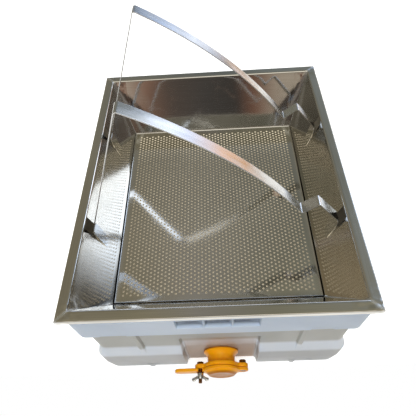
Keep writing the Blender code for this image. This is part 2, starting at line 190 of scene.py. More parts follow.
def sheetMesh(upper, lower, keep):
    # a sheet from two grids of points; keep(row, column) leaves openings out, and every edge is closed
    bm = bmesh.new()
    tops = [[bm.verts.new(p) for p in row] for row in upper]
    bottoms = [[bm.verts.new(p) for p in row] for row in lower]
    rows, columns = len(tops) - 1, len(tops[0]) - 1

    def solid(i, j):
        return 0 <= i < rows and 0 <= j < columns and keep(i, j)

    for i in range(rows):
        for j in range(columns):
            if not solid(i, j):
                continue
            corners = ((i, j), (i, j + 1), (i + 1, j + 1), (i + 1, j))
            bm.faces.new([tops[a][b] for a, b in corners])
            bm.faces.new([bottoms[a][b] for a, b in reversed(corners)])
            sides = ((i - 1, j), (i, j + 1), (i + 1, j), (i, j - 1))
            for n, side in enumerate(sides):
                if not solid(*side):
                    (a, b), (c, d) = corners[n], corners[(n + 1) % 4]
                    bm.faces.new((tops[c][d], tops[a][b], bottoms[a][b], bottoms[c][d]))
    bmesh.ops.delete(bm, geom=[v for v in bm.verts if not v.link_faces], context="VERTS")
    return bm


# ---- room, lights, floor and camera
roomLook = {
    "reflectance": 0.62,              # the steel gives back this share of what it faces
    "horizon": [(0.00, "#4C4A42"), (0.15, "#47453E"), (0.187, "#8F877C"), (0.211, "#A1978B"), (0.221, "#75594B"),
                (0.230, "#4A423D"), (0.245, "#3B3836"), (0.258, "#302E2C"), (0.266, "#5E4438"), (0.278, "#8B8276"),
                (0.35, "#5E5651"), (0.50, "#45423C"), (0.57, "#35363A"), (0.66, "#5A605C"), (0.75, "#595D5C"),
                (0.83, "#666459"), (0.91, "#605F53"), (1.00, "#4C4A42")],
    "middle": [(0.00, "#5E5A4C"), (0.25, "#6B655C"), (0.50, "#55524B"), (0.58, "#3C3F44"), (0.66, "#818686"),
               (0.75, "#595D5C"), (0.83, "#716D60"), (0.88, "#605E51"), (0.92, "#857861"), (1.00, "#5E5A4C")],
    "ground": "#DCDBD8",
    "groundRise": (-6, -22),          # degrees at which the pale ground begins and is full
    "upper": [(0.00, "#6A6455"), (0.10, "#857F75"), (0.18, "#EFE9DC"), (0.32, "#EFE9DC"), (0.42, "#8F8A7E"),
              (0.55, "#7A776E"), (0.65, "#818686"), (0.69, "#595A53"), (0.765, "#716F67"), (0.835, "#6A6557"),
              (0.90, "#6C6657"), (1.00, "#6A6455")],
    "top": [(0.00, "#7F7A6A"), (0.12, "#A39D8E"), (0.18, "#F4EFE4"), (0.32, "#F4EFE4"), (0.40, "#A39D8E"),
            (0.50, "#7F7A6A"), (0.69, "#706E60"), (0.78, "#73706B"), (0.84, "#76705E"), (1.00, "#7F7A6A")],
    "heights": (15, 33, 50, 70),      # degrees above the horizon at which the four bands sit
    "windows": [
        # turn: degrees from +X towards +Y, fade in, full, full, fade out; rise: the same above the horizon;
        # the colours run from the lowest to the highest rise
        {"turn": (27, 36, 52, 56), "rise": (-40, -34, 44, 50), "strength": 3.6,
         "colors": [(0.00, "#3A342E"), (0.17, "#352F2A"), (0.31, "#4A3B30"), (0.40, "#7D6049"), (0.49, "#A88566"),
                    (0.56, "#958C90"), (0.65, "#98A6BE"), (0.73, "#EEF5FF"), (0.86, "#D3E4FF"), (1.00, "#8C9FBC")]},
        {"turn": (55, 60, 106, 116), "rise": (-30, -25, 21, 27), "strength": 1.9,
         "colors": [(0.00, "#E9E4DC"), (0.20, "#F4F0EA"), (0.35, "#E8CFB6"), (0.48, "#DCC6B4"), (0.58, "#C4D2EC"),
                    (0.70, "#F2F7FF"), (0.82, "#A9BFE5"), (0.92, "#55606E"), (1.00, "#4A4F55")]},
    ],
}


def makeRoom():
    look = roomLook
    world = bpy.data.worlds.new("warmBrownRoomWithWindows")
    bpy.context.scene.world = world
    world.use_nodes = True
    tree = world.node_tree
    tree.nodes.clear()
    place = addNode(tree, "ShaderNodeTexCoord").outputs["Generated"]
    axes = addNode(tree, "ShaderNodeSeparateXYZ", inputs={0: place})
    turn = addNode(tree, "ShaderNodeMath", {"operation": "ARCTAN2"}, {0: axes.outputs[1], 1: axes.outputs[0]})
    share = addNode(tree, "ShaderNodeMath", {"operation": "MULTIPLY_ADD"}, {0: turn, 1: 0.5 / math.pi, 2: 0.5})
    rise = addNode(tree, "ShaderNodeMath", {"operation": "ARCSINE"}, {0: axes.outputs[2]})
    soft = {"interpolation_type": "SMOOTHSTEP"}

    # four bands of wall and ceiling, one above the other, each with its colours around the horizon
    bands = [addNode(tree, "ShaderNodeValToRGB", {"stops": look[name]}, {0: share})
             for name in ("horizon", "middle", "upper", "top")]
    color = bands[0].outputs[0]
    for band, low, high in zip(bands[1:], look["heights"], look["heights"][1:]):
        height = addNode(tree, "ShaderNodeMapRange", soft, {0: rise, 1: math.radians(low), 2: math.radians(high)})
        color = addNode(tree, "ShaderNodeMix", {"data_type": "RGBA"}, {0: height, 6: color, 7: band}).outputs[2]
    # the pale ground shows in metal, and the soft light on the plastic comes from the lamps
    start, end = look["groundRise"]
    lowDown = addNode(tree, "ShaderNodeMapRange", soft, {0: rise, 1: math.radians(start), 2: math.radians(end)})
    mirrored = addNode(tree, "ShaderNodeLightPath").outputs["Is Glossy Ray"]
    below = addNode(tree, "ShaderNodeMath", {"operation": "MULTIPLY"}, {0: lowDown, 1: mirrored})
    color = addNode(tree, "ShaderNodeMix", {"data_type": "RGBA"},
                    {0: below, 6: color, 7: hexColor(look["ground"])}).outputs[2]
    patches = addNode(tree, "ShaderNodeTexNoise", inputs={"Vector": place, "Scale": 3.2, "Detail": 2.0})
    patchy = addNode(tree, "ShaderNodeMapRange", inputs={0: patches, 1: 0.3, 2: 0.7, 3: 0.82, 4: 1.18})
    strength = addNode(tree, "ShaderNodeMath", {"operation": "DIVIDE"}, {0: patchy, 1: look["reflectance"]})
    lit = addNode(tree, "ShaderNodeBackground", inputs={0: color, 1: strength})

    for window in look["windows"]:
        a, b, c, d = [math.radians(angle) for angle in window["turn"]]
        e, f, g, h = [math.radians(angle) for angle in window["rise"]]
        inside = 1.0
        for source, start, end in ((turn, a, b), (turn, d, c), (rise, e, f), (rise, h, g)):
            side = addNode(tree, "ShaderNodeMapRange", soft, {0: source, 1: start, 2: end})
            inside = addNode(tree, "ShaderNodeMath", {"operation": "MULTIPLY"}, {0: inside, 1: side})
        raised = addNode(tree, "ShaderNodeMapRange", inputs={0: rise, 1: e, 2: h})
        colors = addNode(tree, "ShaderNodeValToRGB", {"stops": window["colors"]}, {0: raised})
        panes = addNode(tree, "ShaderNodeBackground", inputs={0: colors, 1: window["strength"]})
        lit = addNode(tree, "ShaderNodeMixShader", inputs={0: inside, 1: lit, 2: panes})
    # straight behind the tank the eye sees plain white
    paper = addNode(tree, "ShaderNodeBackground", inputs={0: (1, 1, 1, 1), 1: 1.0})
    seen = addNode(tree, "ShaderNodeLightPath").outputs["Is Camera Ray"]
    final = addNode(tree, "ShaderNodeMixShader", inputs={0: seen, 1: lit, 2: paper})
    addNode(tree, "ShaderNodeOutputWorld", inputs={0: final})


studioLook = {
    # name: place, size, watts, colour
    "frontSoftbox": ((-0.4, -2.3, 1.7), 2.2, 40, "#E4EEFF"),
    "overheadSoftbox": ((0.2, 0.1, 2.8), 2.4, 26, "#FFFBF4"),
    "rearSoftbox": ((-1.6, 2.0, 1.8), 1.8, 16, "#FFFFFF"),
    "floorColor": "#F4F4F2",
    "floorGlow": 0.55,
    "benchEdge": 5 * mm,             # the pale bench ends this far in front of the tub
}


def makeStudio():
    low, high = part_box("tub")
    middle = (low + high) / 2
    for name, (place, size, watts, color) in [(k, v) for k, v in studioLook.items() if k.endswith("Softbox")]:
        data = bpy.data.lights.new(name, "AREA")
        data.shape = "DISK"
        data.size = size
        data.energy = watts
        data.color = hexColor(color)[:3]
        lamp = bpy.data.objects.new(name, data)
        lamp.location = place
        lamp.rotation_euler = (Vector(place) - middle).to_track_quat("Z", "Y").to_euler()
        lamp.visible_glossy = False
        lamp.visible_camera = False
        bpy.context.collection.objects.link(lamp)

    material, tree, shader = newMaterial("paleBenchTop", Base_Color=studioLook["floorColor"], Roughness=0.9,
                                         Emission_Color="#FFFFFF", Emission_Strength=studioLook["floorGlow"])
    place = addNode(tree, "ShaderNodeTexCoord").outputs["Object"]
    grain = addNode(tree, "ShaderNodeTexNoise", inputs={"Vector": place, "Scale": 300.0})
    wire(tree, shader, {"Normal": addNode(tree, "ShaderNodeBump", inputs={"Height": grain, "Distance": 0.0001})})
    front = low.y - studioLook["benchEdge"]
    bm = bmesh.new()
    bm.faces.new([bm.verts.new(p) for p in ((-3, front, 0), (3, front, 0), (3, 3, 0), (-3, 3, 0))])
    bench = finishMesh("paleBench", bm, material)


cameraLook = {"place": (10.73, -420.18, 740.87), "down": 54.52, "turn": -3.28, "roll": -5.23, "lens": 33.02}


def makeCamera():
    # the angles are in degrees, and the place is in millimetres from the tank's middle on the ground
    down, turn, roll = [math.radians(cameraLook[key]) for key in ("down", "turn", "roll")]
    ahead = Vector((math.sin(turn) * math.cos(down), math.cos(turn) * math.cos(down), -math.sin(down)))
    right = Vector((math.cos(turn), -math.sin(turn), 0))
    up = right.cross(ahead)
    rightRolled = right * math.cos(roll) + up * math.sin(roll)
    upRolled = up * math.cos(roll) - right * math.sin(roll)
    data = bpy.data.cameras.new("viewer")
    data.sensor_width = 36
    data.lens = cameraLook["lens"]
    data.clip_start = 0.01
    camera = bpy.data.objects.new("viewer", data)
    turned = Matrix((rightRolled, upRolled, -ahead)).transposed().to_4x4()
    camera.matrix_world = Matrix.Translation(Vector(cameraLook["place"]) * mm) @ turned
    bpy.context.collection.objects.link(camera)
    bpy.context.scene.camera = camera


makeRoom()
makeStudio()
makeCamera()
bpy.context.scene.view_settings.view_transform = "Standard"
print("room, lights, bench and camera are ready")


# ---- finishes
stainlessLook = {
    # the last, near-black tone on the next line is painted shade for the gap between the sieve and the walls
    "sheetTones": ("#C9C7C1", "#D4D2CD"), "groundTone": "#E6E7E6", "seamShadeTone": "#050403",
    "grindEdge": (0.0045, 0.0085),    # metres from a mitre where its ground patch fades
    "hammered": (0.040, 0.012),       # metres from a corner's edges where the knocks begin and are full
    "seamShadeRise": (0.5, 0.9, 2.5, 3.0),  # mm above the sieve: the painted seam shade begins, is full, full, and ends
    "seamShadeFade": (0.15, 0.03),          # metres along Y: the rear part of the seam has no painted shade
}


def trayStainless(name, warp, brushAcross, seamGrind, roughness=0.07):
    # Cold-rolled 304 stainless sheet with a bright annealed face: it mirrors the room, softly bent by
    # the waves left in thin sheet, with faint rolling lines, finger smears and ground weld corners.
    look = stainlessLook
    material, tree, shader = newMaterial(name, Metallic=1.0, Roughness=roughness)
    place = addNode(tree, "ShaderNodeTexCoord").outputs["Object"]
    waves = addNode(tree, "ShaderNodeTexNoise", inputs={"Vector": place, "Scale": 7.0, "Detail": 1.0,
                                                        "Roughness": 0.4})
    stretch = (18, 2200, 60) if brushAcross == "x" else (2200, 18, 60)     # lines 0.45 mm apart
    lined = addNode(tree, "ShaderNodeMapping", inputs={"Vector": place, "Scale": stretch})
    lines = addNode(tree, "ShaderNodeTexNoise", inputs={"Vector": lined, "Scale": 1.0, "Detail": 2.0})
    smearNoise = addNode(tree, "ShaderNodeTexNoise", inputs={"Vector": place, "Scale": 28.0, "Detail": 5.0,
                                                             "Roughness": 0.6, "Distortion": 0.6})
    smears = addNode(tree, "ShaderNodeMapRange", inputs={0: smearNoise, 1: 0.52, 2: 0.75, 3: 0.0, 4: 1.0})
    stops = list(zip((0.3, 0.7), look["sheetTones"]))
    tone = addNode(tree, "ShaderNodeValToRGB", {"stops": stops}, {0: lines})
    roughBase = addNode(tree, "ShaderNodeMath", {"operation": "MULTIPLY_ADD"}, {0: smears, 1: 0.10, 2: roughness})
    color, rough = tone, roughBase
    sides = addNode(tree, "ShaderNodeSeparateXYZ", inputs={0: place})
    if seamGrind:
        # a ground patch 12 mm wide follows each mitre, which runs at 45 degrees from the rim's corner
        across, along = [addNode(tree, "ShaderNodeMath", {"operation": "ABSOLUTE"}, {0: axis})
                         for axis in sides.outputs[:2]]
        shifted = addNode(tree, "ShaderNodeMath", {"operation": "SUBTRACT"}, {0: along, 1: rimHalfY - rimHalfX})
        off = addNode(tree, "ShaderNodeMath", {"operation": "SUBTRACT"}, {0: across, 1: shifted})
        offSide = addNode(tree, "ShaderNodeMath", {"operation": "ABSOLUTE"}, {0: off})
        scratchNoise = addNode(tree, "ShaderNodeTexNoise", inputs={"Vector": place, "Scale": 900.0,
                                                                   "Detail": 3.0})
        ragged = addNode(tree, "ShaderNodeMath", {"operation": "MULTIPLY_ADD"},
                         {0: scratchNoise, 1: 0.006, 2: offSide})
        start, end = look["grindEdge"]
        near = addNode(tree, "ShaderNodeMapRange", inputs={0: ragged, 1: start, 2: end, 3: 1.0, 4: 0.0})
        color = addNode(tree, "ShaderNodeMix", {"data_type": "RGBA"},
                        {0: near, 6: tone, 7: hexColor(look["groundTone"])}).outputs[2]
        rough = addNode(tree, "ShaderNodeMath", {"operation": "MULTIPLY_ADD"}, {0: near, 1: 0.22, 2: roughBase})
    # painted shade: the seam between the sieve and the walls is painted near-black, standing in for the shadowed gap
    # there
    a, b, c, d = [seamLevel + rise * mm for rise in look["seamShadeRise"]]
    seam = 1.0
    for source, start, end in ((2, a, b), (2, d, c), (1, *look["seamShadeFade"])):
        side = addNode(tree, "ShaderNodeMapRange", inputs={0: sides.outputs[source], 1: start, 2: end})
        seam = addNode(tree, "ShaderNodeMath", {"operation": "MULTIPLY"}, {0: seam, 1: side})
    color = addNode(tree, "ShaderNodeMix", {"data_type": "RGBA"},
                    {0: seam, 6: color, 7: hexColor(look["seamShadeTone"])})
    rough = addNode(tree, "ShaderNodeMath", {"operation": "MULTIPLY_ADD"}, {0: seam, 1: 0.5, 2: rough})
    if seamGrind:
        # hammered metal near the corners
        start, end = look["hammered"]
        nearX, nearY = [addNode(tree, "ShaderNodeMapRange", inputs={0: source, 1: half - start, 2: half - end})
                        for source, half in ((across, rimHalfX), (along, rimHalfY))]
        corner = addNode(tree, "ShaderNodeMath", {"operation": "MULTIPLY"}, {0: nearX, 1: nearY})
        knocks = addNode(tree, "ShaderNodeTexNoise", inputs={"Vector": place, "Scale": 75.0, "Detail": 1.0})
        knocked = addNode(tree, "ShaderNodeMath", {"operation": "MULTIPLY"}, {0: knocks, 1: corner})
        waves = addNode(tree, "ShaderNodeMath", {"operation": "MULTIPLY_ADD"}, {0: knocked, 1: 1.6, 2: waves})
    waveBump = addNode(tree, "ShaderNodeBump", inputs={"Height": waves, "Distance": warp, "Strength": 1.0})
    lineBump = addNode(tree, "ShaderNodeBump", inputs={"Height": lines, "Distance": 0.0000015, "Strength": 1.0,
                                                       "Normal": waveBump})
    wire(tree, shader, {"Base Color": color.outputs[2], "Roughness": rough, "Normal": lineBump})
    return material


def brushedStrip():
    # Flat 304 bar, belt-brushed along its length: it streaks highlights along the strip, and its
    # sheared edges stay bright.  The UV map runs in metres along and across the strip.
    material, tree, shader = newMaterial("brushedStainlessStrip", Metallic=1.0, Roughness=0.24, Anisotropic=0.5)
    flow = addNode(tree, "ShaderNodeUVMap", {"uv_map": "alongStrip"})
    lined = addNode(tree, "ShaderNodeMapping", inputs={"Vector": flow, "Scale": (25, 2600, 1)})   # 0.4 mm lines
    lines = addNode(tree, "ShaderNodeTexNoise", inputs={"Vector": lined, "Scale": 1.0, "Detail": 3.0})
    place = addNode(tree, "ShaderNodeTexCoord").outputs["Object"]
    smears = addNode(tree, "ShaderNodeTexNoise", inputs={"Vector": place, "Scale": 45.0, "Detail": 4.0})
    tone = addNode(tree, "ShaderNodeValToRGB", {"stops": [(0.3, "#C4C4C3"), (0.7, "#DADAD9")]}, {0: lines})
    rough = addNode(tree, "ShaderNodeMapRange", inputs={0: smears, 1: 0.35, 2: 0.7, 3: 0.18, 4: 0.32})
    bump = addNode(tree, "ShaderNodeBump", inputs={"Height": lines, "Distance": 0.00001})
    wire(tree, shader, {"Base Color": tone, "Roughness": rough, "Normal": bump})
    return material


polytheneLook = {
    # painted shade and light by height, as shares of 270 mm: foot, step, panels, band; foot and panels are painted
    # darker, the flared step and the band lighter and bluer
    "paintedShadeByHeight": [(0.0, "#A8ABAC"), (0.30, "#ADB1B3"), (0.335, "#D6DFE9"), (0.405, "#D6DFE9"), (0.44, "#A9ACA8"),
              (0.69, "#A9ABA6"), (0.71, "#C7D6E7"), (1.0, "#C9D9EA")],
    # painted shade for the grip cells, and painted shade with warm bounce light for the front bay
    "gripShade": "#666B72", "bayBounceShade": "#91765A",
    # painted glow in place of daylight through the walls, seen from inside, by the same heights, and the colour under
    # it; near the top both turn dark, as painted shade beside the tray
    "glow": [(0.0, "#4B473F"), (0.1, "#544F46"), (0.4, "#D6CAB2"), (0.62, "#D9CDB5"), (0.74, "#040403")],
    "inside": [(0.0, "#D5D3CC"), (0.62, "#D5D3CC"), (0.74, "#3B3833")],
}


def naturalPolythene():
    # Undyed injection-moulded HDPE: milky and waxy, light bleeds through the 3 mm wall, with a fine spark texture and
    # soft flow marks;
    # shade and light are painted in by height, darker on the foot and the panels, lighter on the flared step and the
    # band.
    material, tree, shader = newMaterial("naturalPolythene", Base_Color="#DFE3E8", Roughness=0.42, IOR=1.54,
                                         Subsurface_Weight=0.85, Subsurface_Scale=0.012)
    shader.inputs["Subsurface Radius"].default_value = (1.0, 0.92, 0.80)
    place = addNode(tree, "ShaderNodeTexCoord").outputs["Object"]
    flow = addNode(tree, "ShaderNodeTexNoise", inputs={"Vector": place, "Scale": 9.0, "Detail": 3.0,
                                                       "Distortion": 0.8})
    grain = addNode(tree, "ShaderNodeTexNoise", inputs={"Vector": place, "Scale": 700.0, "Detail": 2.0})  # 1.4 mm
    height = addNode(tree, "ShaderNodeSeparateXYZ", inputs={0: place}).outputs[2]
    level = addNode(tree, "ShaderNodeMapRange", inputs={0: height, 1: 0.0, 2: 0.27})
    # painted shade and light: the colour is made darker or lighter by height
    heightShade = addNode(tree, "ShaderNodeValToRGB", {"stops": polytheneLook["paintedShadeByHeight"]}, {0: level})
    marks = addNode(tree, "ShaderNodeMapRange", inputs={0: flow, 1: 0.4, 2: 0.7, 3: 1.0, 4: 0.93})
    base = addNode(tree, "ShaderNodeMix", {"data_type": "RGBA", "blend_type": "MULTIPLY"},
                   {0: 1.0, 6: heightShade, 7: marks})
    # painted shade and light: the grip cells are painted in shade, and the front bay is painted darker and warm, as
    # shade in the recess with bounce light from the yellow gate
    base = base.outputs[2]
    x, y, z = addNode(tree, "ShaderNodeSeparateXYZ", inputs={0: place}).outputs
    acrossX, alongY = [addNode(tree, "ShaderNodeMath", {"operation": "ABSOLUTE"}, {0: axis}) for axis in (x, y)]
    gripCells = ((acrossX, 0.0575, 0.0570), (alongY, tubHigh.y - 0.002, tubHigh.y - 0.0075),
                 (z, 0.2175, 0.2195), (z, 0.2475, 0.2455))
    frontBay = ((acrossX, 0.065, 0.055), (y, -0.2375, -0.2365), (z, 0.16, 0.05), (y, 0.0, -0.001))
    for shade, limits in (("gripShade", gripCells), ("bayBounceShade", frontBay)):
        inside = 1.0
        for source, start, end in limits:
            part = addNode(tree, "ShaderNodeMapRange", inputs={0: source, 1: start, 2: end})
            inside = addNode(tree, "ShaderNodeMath", {"operation": "MULTIPLY"}, {0: inside, 1: part})
        base = addNode(tree, "ShaderNodeMix", {"data_type": "RGBA"},
                       {0: inside, 6: base, 7: hexColor(polytheneLook[shade])}).outputs[2]
    rough = addNode(tree, "ShaderNodeMapRange", inputs={0: flow, 1: 0.3, 2: 0.7, 3: 0.36, 4: 0.50})
    bump = addNode(tree, "ShaderNodeBump", inputs={"Height": grain, "Distance": 0.00004})
    wire(tree, shader, {"Base Color": base, "Roughness": rough, "Normal": bump})
    return material


def paintedGlowPolythene():
    # The same HDPE seen from inside the closed tank, with painted light: its inner faces emit a warm cream glow in
    # place of the daylight coming through the wall, more up the walls than on the floor; beside the tray they are
    # painted dark, as painted shade.
    material, tree, shader = newMaterial("polytheneLitThrough", Roughness=0.5, IOR=1.54, Emission_Strength=1.0)
    place = addNode(tree, "ShaderNodeTexCoord").outputs["Object"]
    cloud = addNode(tree, "ShaderNodeTexNoise", inputs={"Vector": place, "Scale": 12.0, "Detail": 2.0})
    height = addNode(tree, "ShaderNodeSeparateXYZ", inputs={0: place}).outputs[2]
    level = addNode(tree, "ShaderNodeMapRange", inputs={0: height, 1: 0.0, 2: 0.27})
    glow, base = [addNode(tree, "ShaderNodeValToRGB", {"stops": polytheneLook[name]}, {0: level})
                  for name in ("glow", "inside")]
    patchy = addNode(tree, "ShaderNodeMapRange", inputs={0: cloud, 1: 0.3, 2: 0.7, 3: 0.75, 4: 1.0})
    mixed = addNode(tree, "ShaderNodeMix", {"data_type": "RGBA", "blend_type": "MULTIPLY"},
                    {0: 1.0, 6: glow, 7: patchy})
    bump = addNode(tree, "ShaderNodeBump", inputs={"Height": cloud, "Distance": 0.0005})
    # the emission is painted light, and the dark top of both ramps is painted shade
    wire(tree, shader, {"Emission Color": mixed.outputs[2], "Base Color": base, "Normal": bump})
    return material


def yellowNylon():
    # Glass-free moulded nylon, dyed egg-yolk yellow: saturated, slightly waxy gloss, with flow marks
    # and fine sink texture.
    material, tree, shader = newMaterial("yellowMouldedNylon", Base_Color="#FFAE00", Roughness=0.34,
                                         Specular_IOR_Level=0.35, Subsurface_Weight=0.15, Subsurface_Scale=0.003)
    place = addNode(tree, "ShaderNodeTexCoord").outputs["Object"]
    flow = addNode(tree, "ShaderNodeTexNoise", inputs={"Vector": place, "Scale": 55.0, "Detail": 4.0,
                                                       "Distortion": 0.5})
    grain = addNode(tree, "ShaderNodeTexNoise", inputs={"Vector": place, "Scale": 1400.0, "Detail": 1.0})  # 0.7 mm
    tone = addNode(tree, "ShaderNodeValToRGB", {"stops": [(0.3, "#F7A000"), (0.7, "#FFAD00")]}, {0: flow})
    rough = addNode(tree, "ShaderNodeMapRange", inputs={0: flow, 1: 0.3, 2: 0.7, 3: 0.28, 4: 0.42})
    bump = addNode(tree, "ShaderNodeBump", inputs={"Height": grain, "Distance": 0.00002})
    # the dome's flat is coloured darker than the rest
    depth = addNode(tree, "ShaderNodeSeparateXYZ", inputs={0: place}).outputs[1]
    domeFlat = addNode(tree, "ShaderNodeMapRange", inputs={0: depth, 1: coverLow.y + 0.0042, 2: coverLow.y + 0.0020})
    color = addNode(tree, "ShaderNodeMix", {"data_type": "RGBA"}, {0: domeFlat, 6: tone, 7: hexColor("#B46E00")})
    wire(tree, shader, {"Base Color": color.outputs[2], "Roughness": rough, "Normal": bump})
    return material


def zincPlate(name, low, high):
    # Zinc plate on pressed steel, bright or yellow-passivated: a mirror with a slight orange-peel and
    # dull spots.
    material, tree, shader = newMaterial(name, Metallic=1.0, Roughness=0.16)
    place = addNode(tree, "ShaderNodeTexCoord").outputs["Object"]
    peel = addNode(tree, "ShaderNodeTexNoise", inputs={"Vector": place, "Scale": 900.0, "Detail": 2.0})   # 1.1 mm
    spots = addNode(tree, "ShaderNodeTexNoise", inputs={"Vector": place, "Scale": 260.0, "Detail": 5.0})
    tone = addNode(tree, "ShaderNodeValToRGB", {"stops": [(0.35, low), (0.6, high)]}, {0: spots})
    rough = addNode(tree, "ShaderNodeMapRange", inputs={0: spots, 1: 0.35, 2: 0.65, 3: 0.30, 4: 0.10})
    bump = addNode(tree, "ShaderNodeBump", inputs={"Height": peel, "Distance": 0.00002})
    wire(tree, shader, {"Base Color": tone, "Roughness": rough, "Normal": bump})
    return material


def sealRubber(name, low, high):
    # Moulded rubber, black nitrile or amber silicone: dull, with a fine bloom.
    material, tree, shader = newMaterial(name, Base_Color=low, Roughness=0.65, IOR=1.52)
    place = addNode(tree, "ShaderNodeTexCoord").outputs["Object"]
    bloom = addNode(tree, "ShaderNodeTexNoise", inputs={"Vector": place, "Scale": 160.0, "Detail": 5.0})
    tone = addNode(tree, "ShaderNodeValToRGB", {"stops": [(0.35, low), (0.7, high)]}, {0: bloom})
    rough = addNode(tree, "ShaderNodeMapRange", inputs={0: bloom, 1: 0.3, 2: 0.7, 3: 0.55, 4: 0.8})
    bump = addNode(tree, "ShaderNodeBump", inputs={"Height": bloom, "Distance": 0.00003})
    wire(tree, shader, {"Base Color": tone, "Roughness": rough, "Normal": bump})
    return material


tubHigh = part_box("tub")[1]
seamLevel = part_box("sieve_plate")[1].z
coverLow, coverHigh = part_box("gate_cover")
trayLow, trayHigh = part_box("tray_left_wall")
rimHalfX = -trayLow.x
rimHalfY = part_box("tray_rear_wall")[1].y
rimTop = trayHigh.z
finish = {
    "longWall": trayStainless("brightStainlessLongWall", 0.0012, "y", True, 0.11),
    "endWall": trayStainless("brightStainlessEndWall", 0.0012, "x", True),
    "sieve": trayStainless("perforatedStainlessSheet", 0.0004, "x", False, 0.09),
    "weld": zincPlate("groundStainlessWeld", "#B9BBBE", "#E2E3E4"),
    "strip": brushedStrip(),
    "polythene": naturalPolythene(),
    "paintedGlowPolythene": paintedGlowPolythene(),
    "gate": yellowNylon(),
    "zinc": zincPlate("brightZincPlate", "#A9ABAE", "#E2E3E4"),
    "yellowZinc": zincPlate("yellowPassivatedZinc", "#5E3A22", "#9A6A36"),
    "rubber": sealRubber("mouldedNitrileRubber", "#1A1A1B", "#343435"),
    "silicone": sealRubber("amberSiliconeRubber", "#A8671A", "#BF7A1E"),
}
print("finishes are ready")


# ---- tub
tubLook = {
    "wall": 3.0, "cornerRadius": 12.0, "fillet": 1.4,
    "panelLevels": [(0, 6.5), (4, 3.5), (48, 0), (88, 0), (113, 7), (188, 7), (190, 0), (269, 0)],
    "bayLevels": [(0, 16), (4, 14), (144, 14), (146, 7), (188, 7), (190, 0), (269, 0)],
    "bayHalf": 62.0, "ribHalf": 4.5, "ribRecess": 2.0, "endRib": 127.0, "sideRibs": (-150.0, 0.0, 150.0),
    "gripHalf": 57.0, "gripRib": 4.0, "gripDepth": 8.0, "gripRise": (219.0, 246.0),
    "tabPlaces": ((-172.0, -134.0), (131.0, 164.0)), "tabRise": (190.5, 200.0), "tabDepth": 1.2,
    "footPlaces": ((-134.0, -113.0), (119.0, 131.0), (150.0, 160.0)), "footRise": (20.0, 30.0), "footDepth": 1.2,
    "gateHole": 24.2,
}


def tubRecess(isEnd, along, height):
    # how far the moulding's face lies behind its outermost plane, all in mm
    look = tubLook
    recess = between(height, look["panelLevels"])
    panel = recess
    if isEnd and abs(along) < look["bayHalf"]:
        recess = between(height, look["bayLevels"])
    ribs = (-look["endRib"], look["endRib"]) if isEnd else look["sideRibs"]
    if any(abs(along - rib) < look["ribHalf"] for rib in ribs):
        recess = min(recess, look["ribRecess"])
    if not isEnd:
        return recess
    low, high = look["gripRise"]
    if abs(along) < look["gripHalf"] and low < height < high:
        cell = (2 * look["gripHalf"] - 2 * look["gripRib"]) / 3
        inCell = (along + look["gripHalf"]) % (cell + look["gripRib"]) < cell
        recess = look["gripDepth"] if inCell else 0.6
    for places, (low, high), depth in ((look["tabPlaces"], look["tabRise"], look["tabDepth"]),
                                       (look["footPlaces"], look["footRise"], look["footDepth"])):
        if low < height < high and any(a < along < b for a, b in places):
            recess = panel + depth
    return recess


def tubFace(isEnd, along, height, inner):
    # the recess with filleted edges; the inside keeps the wall's thickness behind every step
    look = tubLook
    step = look["fillet"]
    if inner:
        reach = look["wall"]
        values = [tubRecess(isEnd, along + a, height + b) for a in (-reach, 0, reach) for b in (-reach, 0, reach)]
        return max(values) + look["wall"]
    spread = (-1.0, -0.5, 0.0, 0.5, 1.0)
    values = [tubRecess(isEnd, along + a * step, height + b * step) for a in spread for b in spread]
    return sum(values) / len(values)


